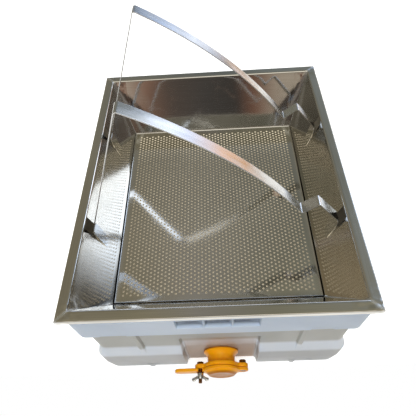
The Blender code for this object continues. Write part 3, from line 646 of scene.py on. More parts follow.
def makeTub():
    look = tubLook
    low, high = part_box("tub")
    halfX, halfY = high.x / mm, high.y / mm
    top = high.z / mm
    step = look["fillet"]

    def samples(edges, start, end, spacing):
        # places around every edge, plus an even spacing between them
        found = {start, end}
        for edge in edges:
            found.update(edge + step * share for share in (-1.0, -0.6, -0.2, 0.2, 0.6, 1.0))
        count = round((end - start) / spacing)
        found.update(start + (end - start) * i / count for i in range(count + 1))
        ordered = sorted(p for p in found if start <= p <= end)
        kept = [ordered[0]]
        for p in ordered[1:]:
            if p - kept[-1] > 0.45:
                kept.append(p)
        return kept

    cell = (2 * look["gripHalf"] - 2 * look["gripRib"]) / 3
    gripEdges = [-look["gripHalf"] + n * (cell + look["gripRib"]) + w for n in range(3) for w in (0, cell)]
    endEdges = [s * e for s in (-1, 1) for e in (look["bayHalf"], look["endRib"] - look["ribHalf"],
                                                 look["endRib"] + look["ribHalf"])] + gripEdges
    endEdges += [e for places in (look["tabPlaces"], look["footPlaces"]) for pair in places for e in pair]
    sideEdges = [rib + s * look["ribHalf"] for rib in look["sideRibs"] for s in (-1, 1)]
    radius = look["cornerRadius"]
    endPlaces = samples(endEdges, -(halfX - radius - 8), halfX - radius - 8, 14)
    sidePlaces = samples(sideEdges, -(halfY - radius - 8), halfY - radius - 8, 14)
    riseEdges = [z for z, _ in look["panelLevels"][1:-1]] + [145.0, *look["gripRise"], *look["tabRise"],
                                                             *look["footRise"]]
    rises = samples(riseEdges, 0.0, top, 12)

    def level(height, inner):
        corner = tubFace(False, 1000.0, height, inner)
        points = [(x, -halfY + tubFace(True, x, height, inner)) for x in endPlaces]
        bend = max(radius - (look["wall"] if inner else 0), 2)
        cx, cy = halfX - corner - bend, halfY - corner - bend
        points += arc((cx, -cy), bend, -90, 0, 7)
        points += [(halfX - tubFace(False, y, height, inner), y) for y in sidePlaces]
        points += arc((cx, cy), bend, 0, 90, 7)
        points += [(-x, halfY - tubFace(True, x, height, inner)) for x in endPlaces]
        points += arc((-cx, cy), bend, 90, 180, 7)
        points += [(-halfX + tubFace(False, y, height, inner), -y) for y in sidePlaces]
        points += arc((-cx, -cy), bend, 180, 270, 7)
        z = max(height, look["wall"]) if inner else height
        return [(x * mm, y * mm, z * mm) for x, y in points]

    rings = [level(height, False) for height in rises]
    rings += [level(height, True) for height in reversed(rises) if height >= look["wall"]]
    bm = loft(rings)
    bm.faces.ensure_lookup_table()
    innerSkin = [*bm.faces[len(rises) * len(rings[0]):-2], bm.faces[-1]]
    for face in innerSkin:
        face.material_index = 1
    tub = finishMesh("polytheneTub", bm, finish["polythene"], 40)
    tub.data.materials.append(finish["paintedGlowPolythene"])
    gasketLow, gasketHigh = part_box("gate_outer_gasket")
    hole = arc(((gasketLow.x + gasketHigh.x) / 2, (gasketLow.z + gasketHigh.z) / 2), look["gateHole"] * mm,
               0, 360, 64)[:-1]
    cutWith(tub, loft([[(x, y, z) for x, z in hole] for y in (low.y + 5 * mm, low.y + 25 * mm)]))
    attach(tub, "tank")
    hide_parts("tub")
    print("tub:", len(tub.data.polygons), "faces")


makeTub()


# ---- tray walls
trayLook = {
    "sheet": 1.0, "flange": 15.0, "lip": 8.0, "depth": 101.4, "longRun": 30.5, "endRun": 47.6, "ledge": 9.5,
    "lipBend": 1.6, "rimBend": 2.2, "footBend": 1.8,
    "slotWidth": 21.0, "slotDrop": (2.3, 62.0), "tongueWidth": 19.0, "tongueTop": 17.8, "tongueLean": 7.2,
    "tongueFoot": 5.0,
}


def bentProfile(corners, bends, divisions):
    # (z, inset) corners with each inner corner bent; every wall gives the same heights, so mitres meet
    path = [corners[0]]
    for i in range(1, len(corners) - 1):
        before, corner, after = corners[i - 1], corners[i], corners[i + 1]

        def leg(other):
            rise, run = abs(other[0] - corner[0]), abs(other[1] - corner[1])
            share = bends[i - 1] / (rise if rise > 0.5 else run)
            return (corner[0] + (other[0] - corner[0]) * share, corner[1] + (other[1] - corner[1]) * share)

        start, stop = leg(before), leg(after)
        last = path[-1]
        for n in range(1, divisions[i - 1]):
            share = n / divisions[i - 1]
            path.append((last[0] + (start[0] - last[0]) * share, last[1] + (start[1] - last[1]) * share))
        for n in range(7):
            t = n / 6
            path.append(tuple(start[k] * (1 - t) ** 2 + 2 * corner[k] * t * (1 - t) + stop[k] * t * t
                              for k in (0, 1)))
    last, end = path[-1], corners[-1]
    path.append(((last[0] + end[0]) / 2, (last[1] + end[1]) / 2))
    path.append(end)
    return path


def wallSheet(run):
    # the upper and the lower face of a wall's bent sheet
    look = trayLook
    sheet, depth, flange = look["sheet"], look["depth"], look["flange"]
    slope = math.hypot(run, depth) / depth
    foot = flange + run
    upper = [(-look["lip"], 0), (0, 0), (0, flange), (-depth, foot), (-depth, foot + look["ledge"])]

    def under(drop):
        return flange + run * drop / depth - sheet * slope

    lower = [(-look["lip"], sheet), (-sheet, sheet), (-sheet, under(sheet)), (-depth - sheet, under(depth + sheet)),
             (-depth - sheet, foot + look["ledge"])]
    bends = (look["lipBend"], look["rimBend"], look["footBend"])
    inner = (bends[0] - 0.4, *bends[1:])
    return bentProfile(upper, bends, (2, 5, 20)), bentProfile(lower, inner, (2, 5, 20))


def makeWall(name, node, isLong, sign, material):
    look = trayLook
    ownRun, otherRun = (look["longRun"], look["endRun"]) if isLong else (look["endRun"], look["longRun"])
    own, other = wallSheet(ownRun), wallSheet(otherRun)
    ownHalf, acrossHalf = (rimHalfX, rimHalfY) if isLong else (rimHalfY, rimHalfX)
    rests = [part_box(n) for n in ("front_frame_rest", "rear_frame_rest")] if isLong else []
    slots = [((low.y + high.y) / 2 / mm - look["slotWidth"] / 2, (low.y + high.y) / 2 / mm + look["slotWidth"] / 2)
             for low, high in rests]
    rows = len(own[0])
    inside = ownHalf / mm - look["flange"]
    limit = acrossHalf / mm - look["flange"] - otherRun - look["ledge"] - 2
    count = 30
    middle = [-limit + 2 * limit * i / count for i in range(count + 1)]
    middle = sorted([p for p in middle if all(abs(p - e) > 3 for slot in slots for e in slot)]
                    + [e for slot in slots for e in slot])

    def grid(face):
        found = []
        for i in range(rows):
            z, inset = own[face][i]
            end = acrossHalf / mm - other[face][i][1]
            row = [-end, *middle, end]
            depthPlace = ownHalf / mm - inset
            height = rimTop + z * mm
            found.append([(sign * depthPlace * mm, along * mm, height) if isLong
                          else (along * mm, sign * depthPlace * mm, height) for along in row])
        return found

    drops = [-z for z, _ in own[0]]
    highest, lowest = look["slotDrop"]
    wallRows = [i for i in range(rows - 1) if own[0][i][1] > look["flange"] - 1]
    slotRows = [i for i in wallRows if highest <= (drops[i] + drops[i + 1]) / 2 <= lowest]
    places = [None, *middle, None]

    def keep(i, j):
        if i not in slotRows or places[j] is None or places[j + 1] is None:
            return True
        return not any(a - 0.1 <= places[j] and places[j + 1] <= b + 0.1 for a, b in slots)

    bm = sheetMesh(grid(0), grid(1), keep)
    wallPiece = finishMesh(name, bm, material, 30)
    print(name, "rows", rows, "opening from", round(drops[slotRows[0]], 1) if slots else "-", "to",
          round(drops[slotRows[-1] + 1], 1) if slots else "-")
    for a, b in slots:
        addTongue(wallPiece, sign, (a + b) / 2, inside, drops[slotRows[-1] + 1])
    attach(wallPiece, "tray")
    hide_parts(node)


def addTongue(wallPiece, sign, middle, inside, rootDrop):
    # the metal lanced out of an opening stands up in front of it, with rounded top corners
    look = trayLook
    run = look["longRun"] / look["depth"]
    foot = rootDrop + look["tongueFoot"]
    line = [(foot, inside - run * foot - 0.05), (rootDrop + 1.5, inside - run * (rootDrop + 1.5) - 0.05)]
    start = Vector((rootDrop, inside - run * rootDrop))
    stop = Vector((look["tongueTop"], start.y + look["tongueLean"]))
    line += [tuple(start.lerp(stop, share)) for share in (0.06, 0.2, 0.4, 0.6, 0.8, 0.9, 0.95, 0.98, 1.0)]
    half = look["tongueWidth"] / 2
    narrowing = {len(line) - 1: 2.6, len(line) - 2: 1.5, len(line) - 3: 0.7, len(line) - 4: 0.2}
    upper, lower = [], []
    for i, (drop, place) in enumerate(line):
        width = half - narrowing.get(i, 0)
        row = [middle + width * share for share in (-1, -0.5, 0, 0.5, 1)]
        upper.append([(sign * place * mm, y * mm, rimTop - drop * mm) for y in row])
        lower.append([(sign * (place + look["sheet"]) * mm, y * mm, rimTop - drop * mm) for y in row])
    tongue = finishMesh("tongue", sheetMesh(upper, lower, lambda i, j: True), wallPiece.data.materials[0], 30)
    joinInto(wallPiece, tongue)


def joinInto(piece, other):
    # adds another object's mesh to a piece, as a separate closed shell
    bm = bmesh.new()
    bm.from_mesh(piece.data)
    bm.from_mesh(other.data)
    bm.to_mesh(piece.data)
    bm.free()
    bpy.data.objects.remove(other)


for wallName, wallNode, wallLong, wallSign in (("trayLeftWall", "tray_left_wall", True, -1),
                                               ("trayRightWall", "tray_right_wall", True, 1),
                                               ("trayFrontWall", "tray_front_wall", False, -1),
                                               ("trayRearWall", "tray_rear_wall", False, 1)):
    makeWall(wallName, wallNode, wallLong, wallSign, finish["longWall" if wallLong else "endWall"])
print("tray walls are folded")


# ---- Geometry Nodes helpers
def newTree(name, inputs):
    # a Geometry Nodes tree with named inputs: name -> socket type
    tree = bpy.data.node_groups.new(name, "GeometryNodeTree")
    tree.interface.new_socket(name="Geometry", in_out="INPUT", socket_type="NodeSocketGeometry")
    tree.interface.new_socket(name="Geometry", in_out="OUTPUT", socket_type="NodeSocketGeometry")
    identifiers = {}
    for label, kind in inputs.items():
        socket = tree.interface.new_socket(name=label, in_out="INPUT", socket_type=kind)
        identifiers[label] = socket.identifier
    entry = addNode(tree, "NodeGroupInput")
    return tree, entry, identifiers


def runTree(name, tree, identifiers, values):
    # runs the tree on an empty mesh, with each input set by its identifier, and keeps the plain mesh
    piece = bpy.data.objects.new(name, bpy.data.meshes.new(name))
    bpy.context.collection.objects.link(piece)
    modifier = piece.modifiers.new(tree.name, "NODES")
    modifier.node_group = tree
    for label, value in values.items():
        modifier[identifiers[label]] = value
    return bakeModifiers(piece)


def endTree(tree, geometry, material):
    # real geometry, welded where tiles meet, with its material
    real = addNode(tree, "GeometryNodeRealizeInstances", inputs={0: geometry})
    merged = addNode(tree, "GeometryNodeMergeByDistance", inputs={"Geometry": real, "Distance": 0.00001})
    painted = addNode(tree, "GeometryNodeSetMaterial", inputs={"Geometry": merged, "Material": material})
    addNode(tree, "NodeGroupOutput", inputs={0: painted})


# ---- perforated floor
sieveLook = {
    "columns": 51, "rows": 52, "pitch": 7.0, "holeDiameter": 3.6, "sides": 12, "sheet": 1.0,
    # inset from the plate's edge, rise
    "upturn": ((2.6, 0.0), (1.7, 0.1), (0.9, 0.35), (0.2, 0.75), (-0.3, 1.2), (-0.7, 1.7), (-1.0, 2.3)),
}


def plainTile(name, spacing, height, holeRadius=0):
    # one cell of the sheet, open at its sides; its corners and edge middles meet the next cells'
    sides = sieveLook["sides"]
    sheet = sieveLook["sheet"] * mm
    w, h = spacing / 2, height / 2
    border = [(w, 0), (w, h), (0, h), (-w, h), (-w, 0), (-w, -h), (0, -h), (w, -h)]
    if not holeRadius:
        border = [(x, y) for x, y in border if y]
    bm = bmesh.new()
    layers = []
    for z in (0, -sheet):
        outer = [bm.verts.new((x, y, z)) for x, y in border]
        if not holeRadius:
            bm.faces.new(outer if z == 0 else outer[::-1])
            continue
        inner = [bm.verts.new((holeRadius * math.cos(a), holeRadius * math.sin(a), z))
                 for a in [2 * math.pi * i / sides for i in range(sides)]]
        layers.append(inner)
        outerTurns = [math.atan2(y, x) % (2 * math.pi) for x, y in border] + [2 * math.pi]
        innerTurns = [2 * math.pi * i / sides for i in range(sides + 1)]
        i = j = 0
        while i < len(border) or j < sides:
            if j >= sides or (i < len(border) and outerTurns[i + 1] <= innerTurns[j + 1]):
                face = (inner[j % sides], outer[i], outer[(i + 1) % len(border)])
                i += 1
            else:
                face = (inner[j], outer[i % len(border)], inner[(j + 1) % sides])
                j += 1
            bm.faces.new(face if z == 0 else face[::-1])
    if layers:
        top, bottom = layers
        for i in range(sides):
            j = (i + 1) % sides
            bm.faces.new((top[i], top[j], bottom[j], bottom[i]))
    mesh = bpy.data.meshes.new(name)
    bm.to_mesh(mesh)
    bm.free()
    tile = bpy.data.objects.new(name, mesh)
    bpy.context.collection.objects.link(tile)
    return tile


def sieveTree():
    tree, entry, identifiers = newTree("staggeredPerforations", {
        "Hole Tile": "NodeSocketObject", "Plain Tile": "NodeSocketObject", "Columns": "NodeSocketInt",
        "Rows": "NodeSocketInt", "Column Spacing": "NodeSocketFloat", "Pitch": "NodeSocketFloat",
        "Material": "NodeSocketMaterial"})

    columns, rows, spacing, pitch = [entry.outputs[label] for label in ("Columns", "Rows", "Column Spacing", "Pitch")]

    def points(rowCount, rowSpacing, shift, wanted, dropLast):
        # a grid of points, column by column; wanted 0 keeps even columns whole, 1 keeps odd ones
        gaps = addNode(tree, "ShaderNodeMath", {"operation": "SUBTRACT"}, {0: columns, 1: 1})
        width = addNode(tree, "ShaderNodeMath", {"operation": "MULTIPLY"}, {0: gaps, 1: spacing})
        rowGaps = addNode(tree, "ShaderNodeMath", {"operation": "SUBTRACT"}, {0: rowCount, 1: 1})
        length = addNode(tree, "ShaderNodeMath", {"operation": "MULTIPLY"}, {0: rowGaps, 1: rowSpacing})
        grid = addNode(tree, "GeometryNodeMeshGrid", inputs={"Size X": width, "Size Y": length,
                                                             "Vertices X": columns, "Vertices Y": rowCount})
        axes = addNode(tree, "ShaderNodeSeparateXYZ", inputs={0: addNode(tree, "GeometryNodeInputPosition")})
        fromEdge = addNode(tree, "ShaderNodeMath", {"operation": "MULTIPLY_ADD"},
                           {0: width, 1: 0.5, 2: axes.outputs[0]})
        steps = addNode(tree, "ShaderNodeMath", {"operation": "DIVIDE"}, {0: fromEdge, 1: spacing})
        column = addNode(tree, "ShaderNodeMath", {"operation": "ROUND"}, {0: steps})
        odd = addNode(tree, "ShaderNodeMath", {"operation": "MODULO"}, {0: column, 1: 2.0})
        unwanted = addNode(tree, "ShaderNodeMath", {"operation": "COMPARE"}, {0: odd, 1: 1.0 - wanted})
        if dropLast:
            lastRow = addNode(tree, "ShaderNodeMath", {"operation": "MULTIPLY_ADD"}, {0: length, 1: 0.5, 2: -0.001})
            pastEnd = addNode(tree, "ShaderNodeMath", {"operation": "GREATER_THAN"}, {0: axes.outputs[1], 1: lastRow})
            unwanted = addNode(tree, "ShaderNodeMath", {"operation": "MAXIMUM"}, {0: unwanted, 1: pastEnd})
        kept = addNode(tree, "GeometryNodeDeleteGeometry", inputs={"Geometry": grid, "Selection": unwanted})
        offset = addNode(tree, "ShaderNodeCombineXYZ", inputs={1: shift})
        return addNode(tree, "GeometryNodeSetPosition", inputs={"Geometry": kept, "Offset": offset}).outputs[0]

    halfPitch = addNode(tree, "ShaderNodeMath", {"operation": "MULTIPLY"}, {0: pitch, 1: 0.5})
    rowsLess = addNode(tree, "ShaderNodeMath", {"operation": "SUBTRACT"}, {0: rows, 1: 0.5})
    endSpacing = addNode(tree, "ShaderNodeMath", {"operation": "MULTIPLY"}, {0: pitch, 1: rowsLess})
    evenPoints = points(rows, pitch, 0.0, 0, False)
    oddPoints = points(rows, pitch, halfPitch, 1, True)
    endPoints = points(2, endSpacing, 0.0, 1, False)
    holes = addNode(tree, "GeometryNodeJoinGeometry")
    for found in (evenPoints, oddPoints):
        tree.links.new(found, holes.inputs[0])
    tiles = addNode(tree, "GeometryNodeJoinGeometry")
    for found, label in ((holes.outputs[0], "Hole Tile"), (endPoints, "Plain Tile")):
        source = addNode(tree, "GeometryNodeObjectInfo", inputs={"Object": entry.outputs[label]})
        placed = addNode(tree, "GeometryNodeInstanceOnPoints",
                         inputs={"Points": found, "Instance": source.outputs["Geometry"]})
        tree.links.new(placed.outputs[0], tiles.inputs[0])
    endTree(tree, tiles.outputs[0], entry.outputs["Material"])
    return tree, identifiers


def makeSieve():
    look = sieveLook
    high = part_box("sieve_plate")[1]
    pitch = look["pitch"] * mm
    spacing = pitch * math.sqrt(3) / 2
    holeTile = plainTile("holeTile", spacing, pitch, look["holeDiameter"] / 2 * mm)
    halfTile = plainTile("plainTile", spacing, pitch / 2)
    tree, identifiers = sieveTree()
    sieve = runTree("perforatedSieve", tree, identifiers, {
        "Hole Tile": holeTile, "Plain Tile": halfTile, "Columns": look["columns"], "Rows": look["rows"],
        "Column Spacing": spacing, "Pitch": pitch, "Material": finish["sieve"]})
    for tile in (holeTile, halfTile):
        bpy.data.objects.remove(tile)

    bm = bmesh.new()
    bm.from_mesh(sieve.data)
    blockX, blockY = look["columns"] * spacing / 2, look["rows"] * pitch / 2
    rimEdges = [e for e in bm.edges if e.is_boundary]
    outX, outY, middle = blockX, blockY, -look["sheet"] / 2 * mm
    for inset, rise in look["upturn"]:
        # the plain border, ending in an edge that turns up against the walls
        grown = bmesh.ops.extrude_edge_only(bm, edges=rimEdges)["geom"]
        rimEdges = [e for e in grown if isinstance(e, bmesh.types.BMEdge) and e.is_boundary]
        newX, newY = high.x - inset * mm, high.y - inset * mm
        for vert in {v for e in rimEdges for v in e.verts}:
            onX, onY = abs(abs(vert.co.x) - outX) < 0.05 * mm, abs(abs(vert.co.y) - outY) < 0.05 * mm
            if onX:
                vert.co.x = math.copysign(newX, vert.co.x)
            if onY:
                vert.co.y = math.copysign(newY, vert.co.y)
            vert.co.z = rise * mm - (0 if vert.co.z > middle else look["sheet"] * mm)
        outX, outY, middle = newX, newY, (rise - look["sheet"] / 2) * mm
    bmesh.ops.bridge_loops(bm, edges=rimEdges)
    for vert in bm.verts:
        vert.co.z += high.z
    openEdges = sum(e.is_boundary for e in bm.edges)
    bmesh.ops.recalc_face_normals(bm, faces=bm.faces)
    bm.to_mesh(sieve.data)
    bm.free()
    sieve.data.shade_smooth()
    sieve.data.set_sharp_from_angle(angle=math.radians(30))
    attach(sieve, "tray")
    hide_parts("sieve_plate")
    print("sieve:", len(sieve.data.polygons), "faces,", openEdges, "open edges")


makeSieve()


# ---- corner welds
weldLook = {"width": 1.3, "proud": 0.10, "spacing": 0.9}


def weldTree():
    # beads of a fusion weld: flattened drops, each over the one before, along a path
    tree, entry, identifiers = newTree("weldBeads", {
        "Path": "NodeSocketObject", "Spacing": "NodeSocketFloat", "Width": "NodeSocketFloat",
        "Seed": "NodeSocketInt", "Material": "NodeSocketMaterial"})
    path = addNode(tree, "GeometryNodeObjectInfo", inputs={"Object": entry.outputs["Path"]})
    points = addNode(tree, "GeometryNodeCurveToPoints", {"mode": "LENGTH"},
                     {"Curve": path.outputs["Geometry"], "Length": entry.outputs["Spacing"]})
    drop = addNode(tree, "GeometryNodeMeshUVSphere", inputs={"Segments": 8, "Rings": 5, "Radius": 0.5})
    size = addNode(tree, "FunctionNodeRandomValue", {"data_type": "FLOAT"},
                   {2: 0.8, 3: 1.15, "Seed": entry.outputs["Seed"]})
    scaled = addNode(tree, "ShaderNodeMath", {"operation": "MULTIPLY"}, {0: entry.outputs["Width"],
                                                                         1: size.outputs[1]})
    placed = addNode(tree, "GeometryNodeInstanceOnPoints", inputs={"Points": points.outputs[0], "Instance": drop,
                                                                   "Scale": scaled})
    real = addNode(tree, "GeometryNodeRealizeInstances", inputs={0: placed})
    painted = addNode(tree, "GeometryNodeSetMaterial", inputs={"Geometry": real,
                                                               "Material": entry.outputs["Material"]})
    addNode(tree, "NodeGroupOutput", inputs={0: painted})
    return tree, identifiers


def makeWelds():
    look, tray = weldLook, trayLook
    tree, identifiers = weldTree()
    for n, (sx, sy) in enumerate(((-1, -1), (1, -1), (1, 1), (-1, 1))):
        flange, depth = tray["flange"], tray["depth"]
        sink = look["width"] / 2 - look["proud"]
        line = [(0.8, 0.8, -sink), (flange - 1.2, flange - 1.2, -sink), (flange + 0.4, flange + 0.4, -2 - sink),
                (flange + tray["longRun"] - 0.2, flange + tray["endRun"] - 0.2, -depth + 1.5)]
        curve = bpy.data.curves.new("seam", "CURVE")
        curve.dimensions = "3D"
        spline = curve.splines.new("POLY")
        spline.points.add(len(line) - 1)
        for point, (a, b, z) in zip(spline.points, line):
            point.co = (sx * (rimHalfX - a * mm), sy * (rimHalfY - b * mm), rimTop + z * mm, 1)
        path = bpy.data.objects.new("seam", curve)
        bpy.context.collection.objects.link(path)
        weld = runTree("cornerWeld%d" % (n + 1), tree, identifiers, {
            "Path": path, "Spacing": look["spacing"] * mm, "Width": look["width"] * mm, "Seed": n + 3,
            "Material": finish["weld"]})
        bpy.data.objects.remove(path)
        weld.data.shade_smooth()
        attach(weld, "tray")
        print(weld.name, len(weld.data.polygons), "faces")


makeWelds()


# ---- frame rests
restLook = {
    "thick": 1.5, "edge": 0.35, "hook": 185.7, "tail": -45.0, "shoulders": (-16.5, -15.0),
    "peak": (-95.8, 212.5), "notch": (128.0, 10.5), "stub": (150.4, 29.0), "bow": 17.5, "bend": 2.8,
}


def roundedPath(points, radii, steps=8):
    # an open (x, z) path with its inner corners rounded
    path = [Vector(points[0])]
    for before, corner, after, radius in zip(points, points[1:], points[2:], radii):
        corner = Vector(corner)
        back = (Vector(before) - corner).normalized()
        forth = (Vector(after) - corner).normalized()
        half = back.angle(forth) / 2
        if radius == 0 or half > math.radians(89):
            path.append(corner)
            continue
        center = corner + (back + forth).normalized() * radius / math.sin(half)
        start, stop = corner + back * radius / math.tan(half), corner + forth * radius / math.tan(half)
        for i in range(steps + 1):
            path.append(center + (start - center).lerp(stop - center, i / steps).normalized() * radius)
    path.append(Vector(points[-1]))
    return path


def makeRest(name, node, body):
    look = restLook
    low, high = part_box(node)
    middle, half = (low.y + high.y) / 2, (high.y - low.y) / 2
    peak, notch = Vector(look["peak"]), Vector(look["notch"])
    across = notch - peak
    outward = Vector((-across.y, across.x)).normalized()
    bow = [peak + across * i / 28 + outward * look["bow"] * 4 * (i / 28) * (1 - i / 28) for i in range(1, 28)]
    hook = look["hook"]
    points = [(-hook, look["tail"]), (-hook, look["shoulders"][0]), look["peak"], *bow, look["notch"], look["stub"],
              (hook, look["shoulders"][1]), (hook, look["tail"])]
    radii = [look["bend"]] * 2 + [0] * len(bow) + [look["bend"]] * 3
    path = roundedPath(points, radii)

    t, e = look["thick"] / 2, look["edge"]
    w = half / mm
    profile = []
    for cx, cy, start in ((w - e, t - e, 0), (-w + e, t - e, 90), (-w + e, -t + e, 180), (w - e, -t + e, 270)):
        profile += arc((cx, cy), e, start, start + 90, 3)
        if start in (0, 180):
            side = 1 if start == 0 else -1
            profile += [(side * (w - e - 0.4), side * t), (-side * (w - e - 0.4), side * t)]
    bm = bmesh.new()
    uvLayer = bm.loops.layers.uv.new("alongStrip")
    rows, lengths, total = [], [], 0
    for i, point in enumerate(path):
        before, after = path[max(i - 1, 0)], path[min(i + 1, len(path) - 1)]
        along = (after - before).normalized()
        normal = Vector((-along.y, along.x))
        if i:
            total += (point - path[i - 1]).length
        lengths.append(total)
        shrink = 0.97 if i in (0, len(path) - 1) else 1.0
        rows.append([bm.verts.new((mm * (point.x + normal.x * b), middle + a * shrink * mm,
                                   rimTop + mm * (point.y + normal.y * b))) for a, b in profile])
    ring = [0.0]
    for (a, b), (c, d) in zip(profile, profile[1:] + profile[:1]):
        ring.append(ring[-1] + math.hypot(c - a, d - b))
    for i in range(len(rows) - 1):
        for j in range(len(profile)):
            k = (j + 1) % len(profile)
            face = bm.faces.new((rows[i][j], rows[i][k], rows[i + 1][k], rows[i + 1][j]))
            spots = ((i, j), (i, j + 1), (i + 1, j + 1), (i + 1, j))
            for corner, (a, b) in zip(face.loops, spots):
                corner[uvLayer].uv = (lengths[a] * mm, ring[b] * mm)
    bm.faces.new(rows[0])
    bm.faces.new(rows[-1])
    rest = finishMesh(name, bm, finish["strip"], 50)
    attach(rest, body)
    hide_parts(node)
    print(name, round(total), "mm of strip,", len(rest.data.polygons), "faces")


makeRest("frontFrameRest", "front_frame_rest", "front_rest")
makeRest("rearFrameRest", "rear_frame_rest", "rear_rest")


# ---- honey gate
gateLook = {
    "disc": 30.0, "lugPlace": 36.5, "lugRadius": 9.0, "lever": 80.0, "bore": 20.0, "neck": 23.6, "collar": 30.0,
    "plate": 6.5, "edge": 1.1, "domeTop": 21.0, "notchHalf": 3.6, "nutSeat": 6.3, "boltHole": 3.3,
    "threadPitch": 3.0, "threadDepth": 1.0,
}
gateLow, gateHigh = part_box("gate_body")
gateAxis = Vector((0, 0, (gateLow.z + gateHigh.z) / 2))


def polarOutline(lever, clampLug):
    # the disc with its lugs, as (x, z) points in mm around the gate's axis, junctions eased
    look = gateLook
    lug, radius, disc = look["lugPlace"], look["lugRadius"], look["disc"]
    spread = math.degrees(math.asin(radius / disc))
    ease = 7.0
    points = arc((lug, 0), radius, -90, 90, 16)
    points += [(disc * math.cos(math.radians(spread)) + 2.2, radius + 0.15)]
    left = (lever or clampLug)
    points += arc((0, 0), disc, spread + ease, (180 - spread - ease) if left else 180, 36 if left else 60)
    if left:
        points += [(-disc * math.cos(math.radians(spread)) - 2.2, radius + 0.15)]
        reach = (look["lever"] - radius) if lever else lug
        if lever:
            points += [(-reach * share, radius) for share in (0.6, 0.8)]
        points += arc((-reach, 0), radius, 90, 270, 20)
        if lever:
            points += [(-reach * share, -radius) for share in (0.8, 0.6)]
        points += [(-disc * math.cos(math.radians(spread)) - 2.2, -radius - 0.15)]
    points += arc((0, 0), disc, 180 + spread + ease, 360 - spread - ease, 36)
    points += [(disc * math.cos(math.radians(spread)) + 2.2, -radius - 0.15)]
    return points


def insetOutline(outline, amount):
    # moves every point of a closed outline inwards, square to its neighbours' line
    count = len(outline)
    moved = []
    for i, point in enumerate(outline):
        before, after = Vector(outline[i - 1]), Vector(outline[(i + 1) % count])
        along = (after - before).normalized()
        moved.append((point[0] - along.y * amount, point[1] + along.x * amount))
    return moved


def gateRings(outline, stations):
    # loops about the gate's axis: ("outline", inset, y) or ("circle", radius, y), y in metres
    rings = []
    for kind, size, y in stations:
        if kind == "outline":
            loop = insetOutline(outline, size)
        else:
            loop = [(Vector(p).normalized() * size)[:] for p in outline]
        rings.append([(x * mm, y, gateAxis.z + z * mm) for x, z in loop])
    return rings


def roundedEdge(y, inward, edge, steps=4):
    # stations that round a plate's edge: inward is +1 towards the tank, -1 away from it
    found = []
    for i in range(steps + 1):
        a = math.radians(90 * i / steps)
        found.append(("outline", edge * (1 - math.sin(a)), y + inward * edge * (1 - math.cos(a)) * mm))
    return found


def makeGateBody():
    look = gateLook
    outline = polarOutline(False, True)
    front = gateLow.y
    back = front + look["plate"] * mm
    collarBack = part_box("gate_outer_gasket")[0].y - 0.3 * mm
    end = gateHigh.y
    e = look["edge"]
    neck, collar, bore = look["neck"], look["collar"], look["bore"]
    stations = [("circle", bore, front + 0.8 * mm), ("circle", bore + 0.4, front + 0.2 * mm),
                ("circle", bore + 0.9, front), ("circle", 21.4, front), ("circle", 21.5, front + 1.7 * mm),
                ("circle", 25.5, front + 1.7 * mm), ("circle", 25.6, front), ("circle", 27.5, front),
                ("outline", e + 0.3, front)]
    stations += roundedEdge(front, 1, e)
    stations += [(kind, inset, front + back - y) for kind, inset, y in reversed(roundedEdge(front, 1, e))]
    fillet = 3.2
    stations += [("outline", e + 0.3, back), ("circle", neck + fillet, back)]
    stations += [("circle", neck + fillet * (1 - math.sin(a)), back + fillet * mm * (1 - math.cos(a)))
                 for a in [math.radians(degrees) for degrees in (20, 40, 60, 80)]]
    slope = collarBack - 9.5 * mm
    stations += [("circle", neck, slope)]
    stations += [("circle", neck + (collar - neck - 0.8) * share ** 1.35, slope + 7.5 * mm * share)
                 for share in (0.15, 0.3, 0.45, 0.6, 0.75, 0.9, 1.0)]
    stations += [("circle", collar - 0.2, collarBack - 1.7 * mm), ("circle", collar, collarBack - 1.3 * mm),
                 ("circle", collar, collarBack - 0.3 * mm), ("circle", collar - 0.3, collarBack),
                 ("circle", neck, collarBack)]
    y = collarBack + 2 * mm
    while y < end - 2 * mm:       # a coarse thread's rings for the back nut
        stations += [("circle", neck, y), ("circle", neck, y + 0.5 * mm),
                     ("circle", neck - look["threadDepth"], y + 1.3 * mm),
                     ("circle", neck - look["threadDepth"], y + 1.9 * mm)]
        y += look["threadPitch"] * mm
    stations += [("circle", neck - 0.6, end), ("circle", bore + 0.6, end), ("circle", bore, end - 0.6 * mm)]
    gate = finishMesh("gateBody", loft(gateRings(outline, stations), closed=True), finish["gate"], 32)
    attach(gate, "tank")
    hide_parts("gate_body")
    print("gate body:", len(gate.data.polygons), "faces")


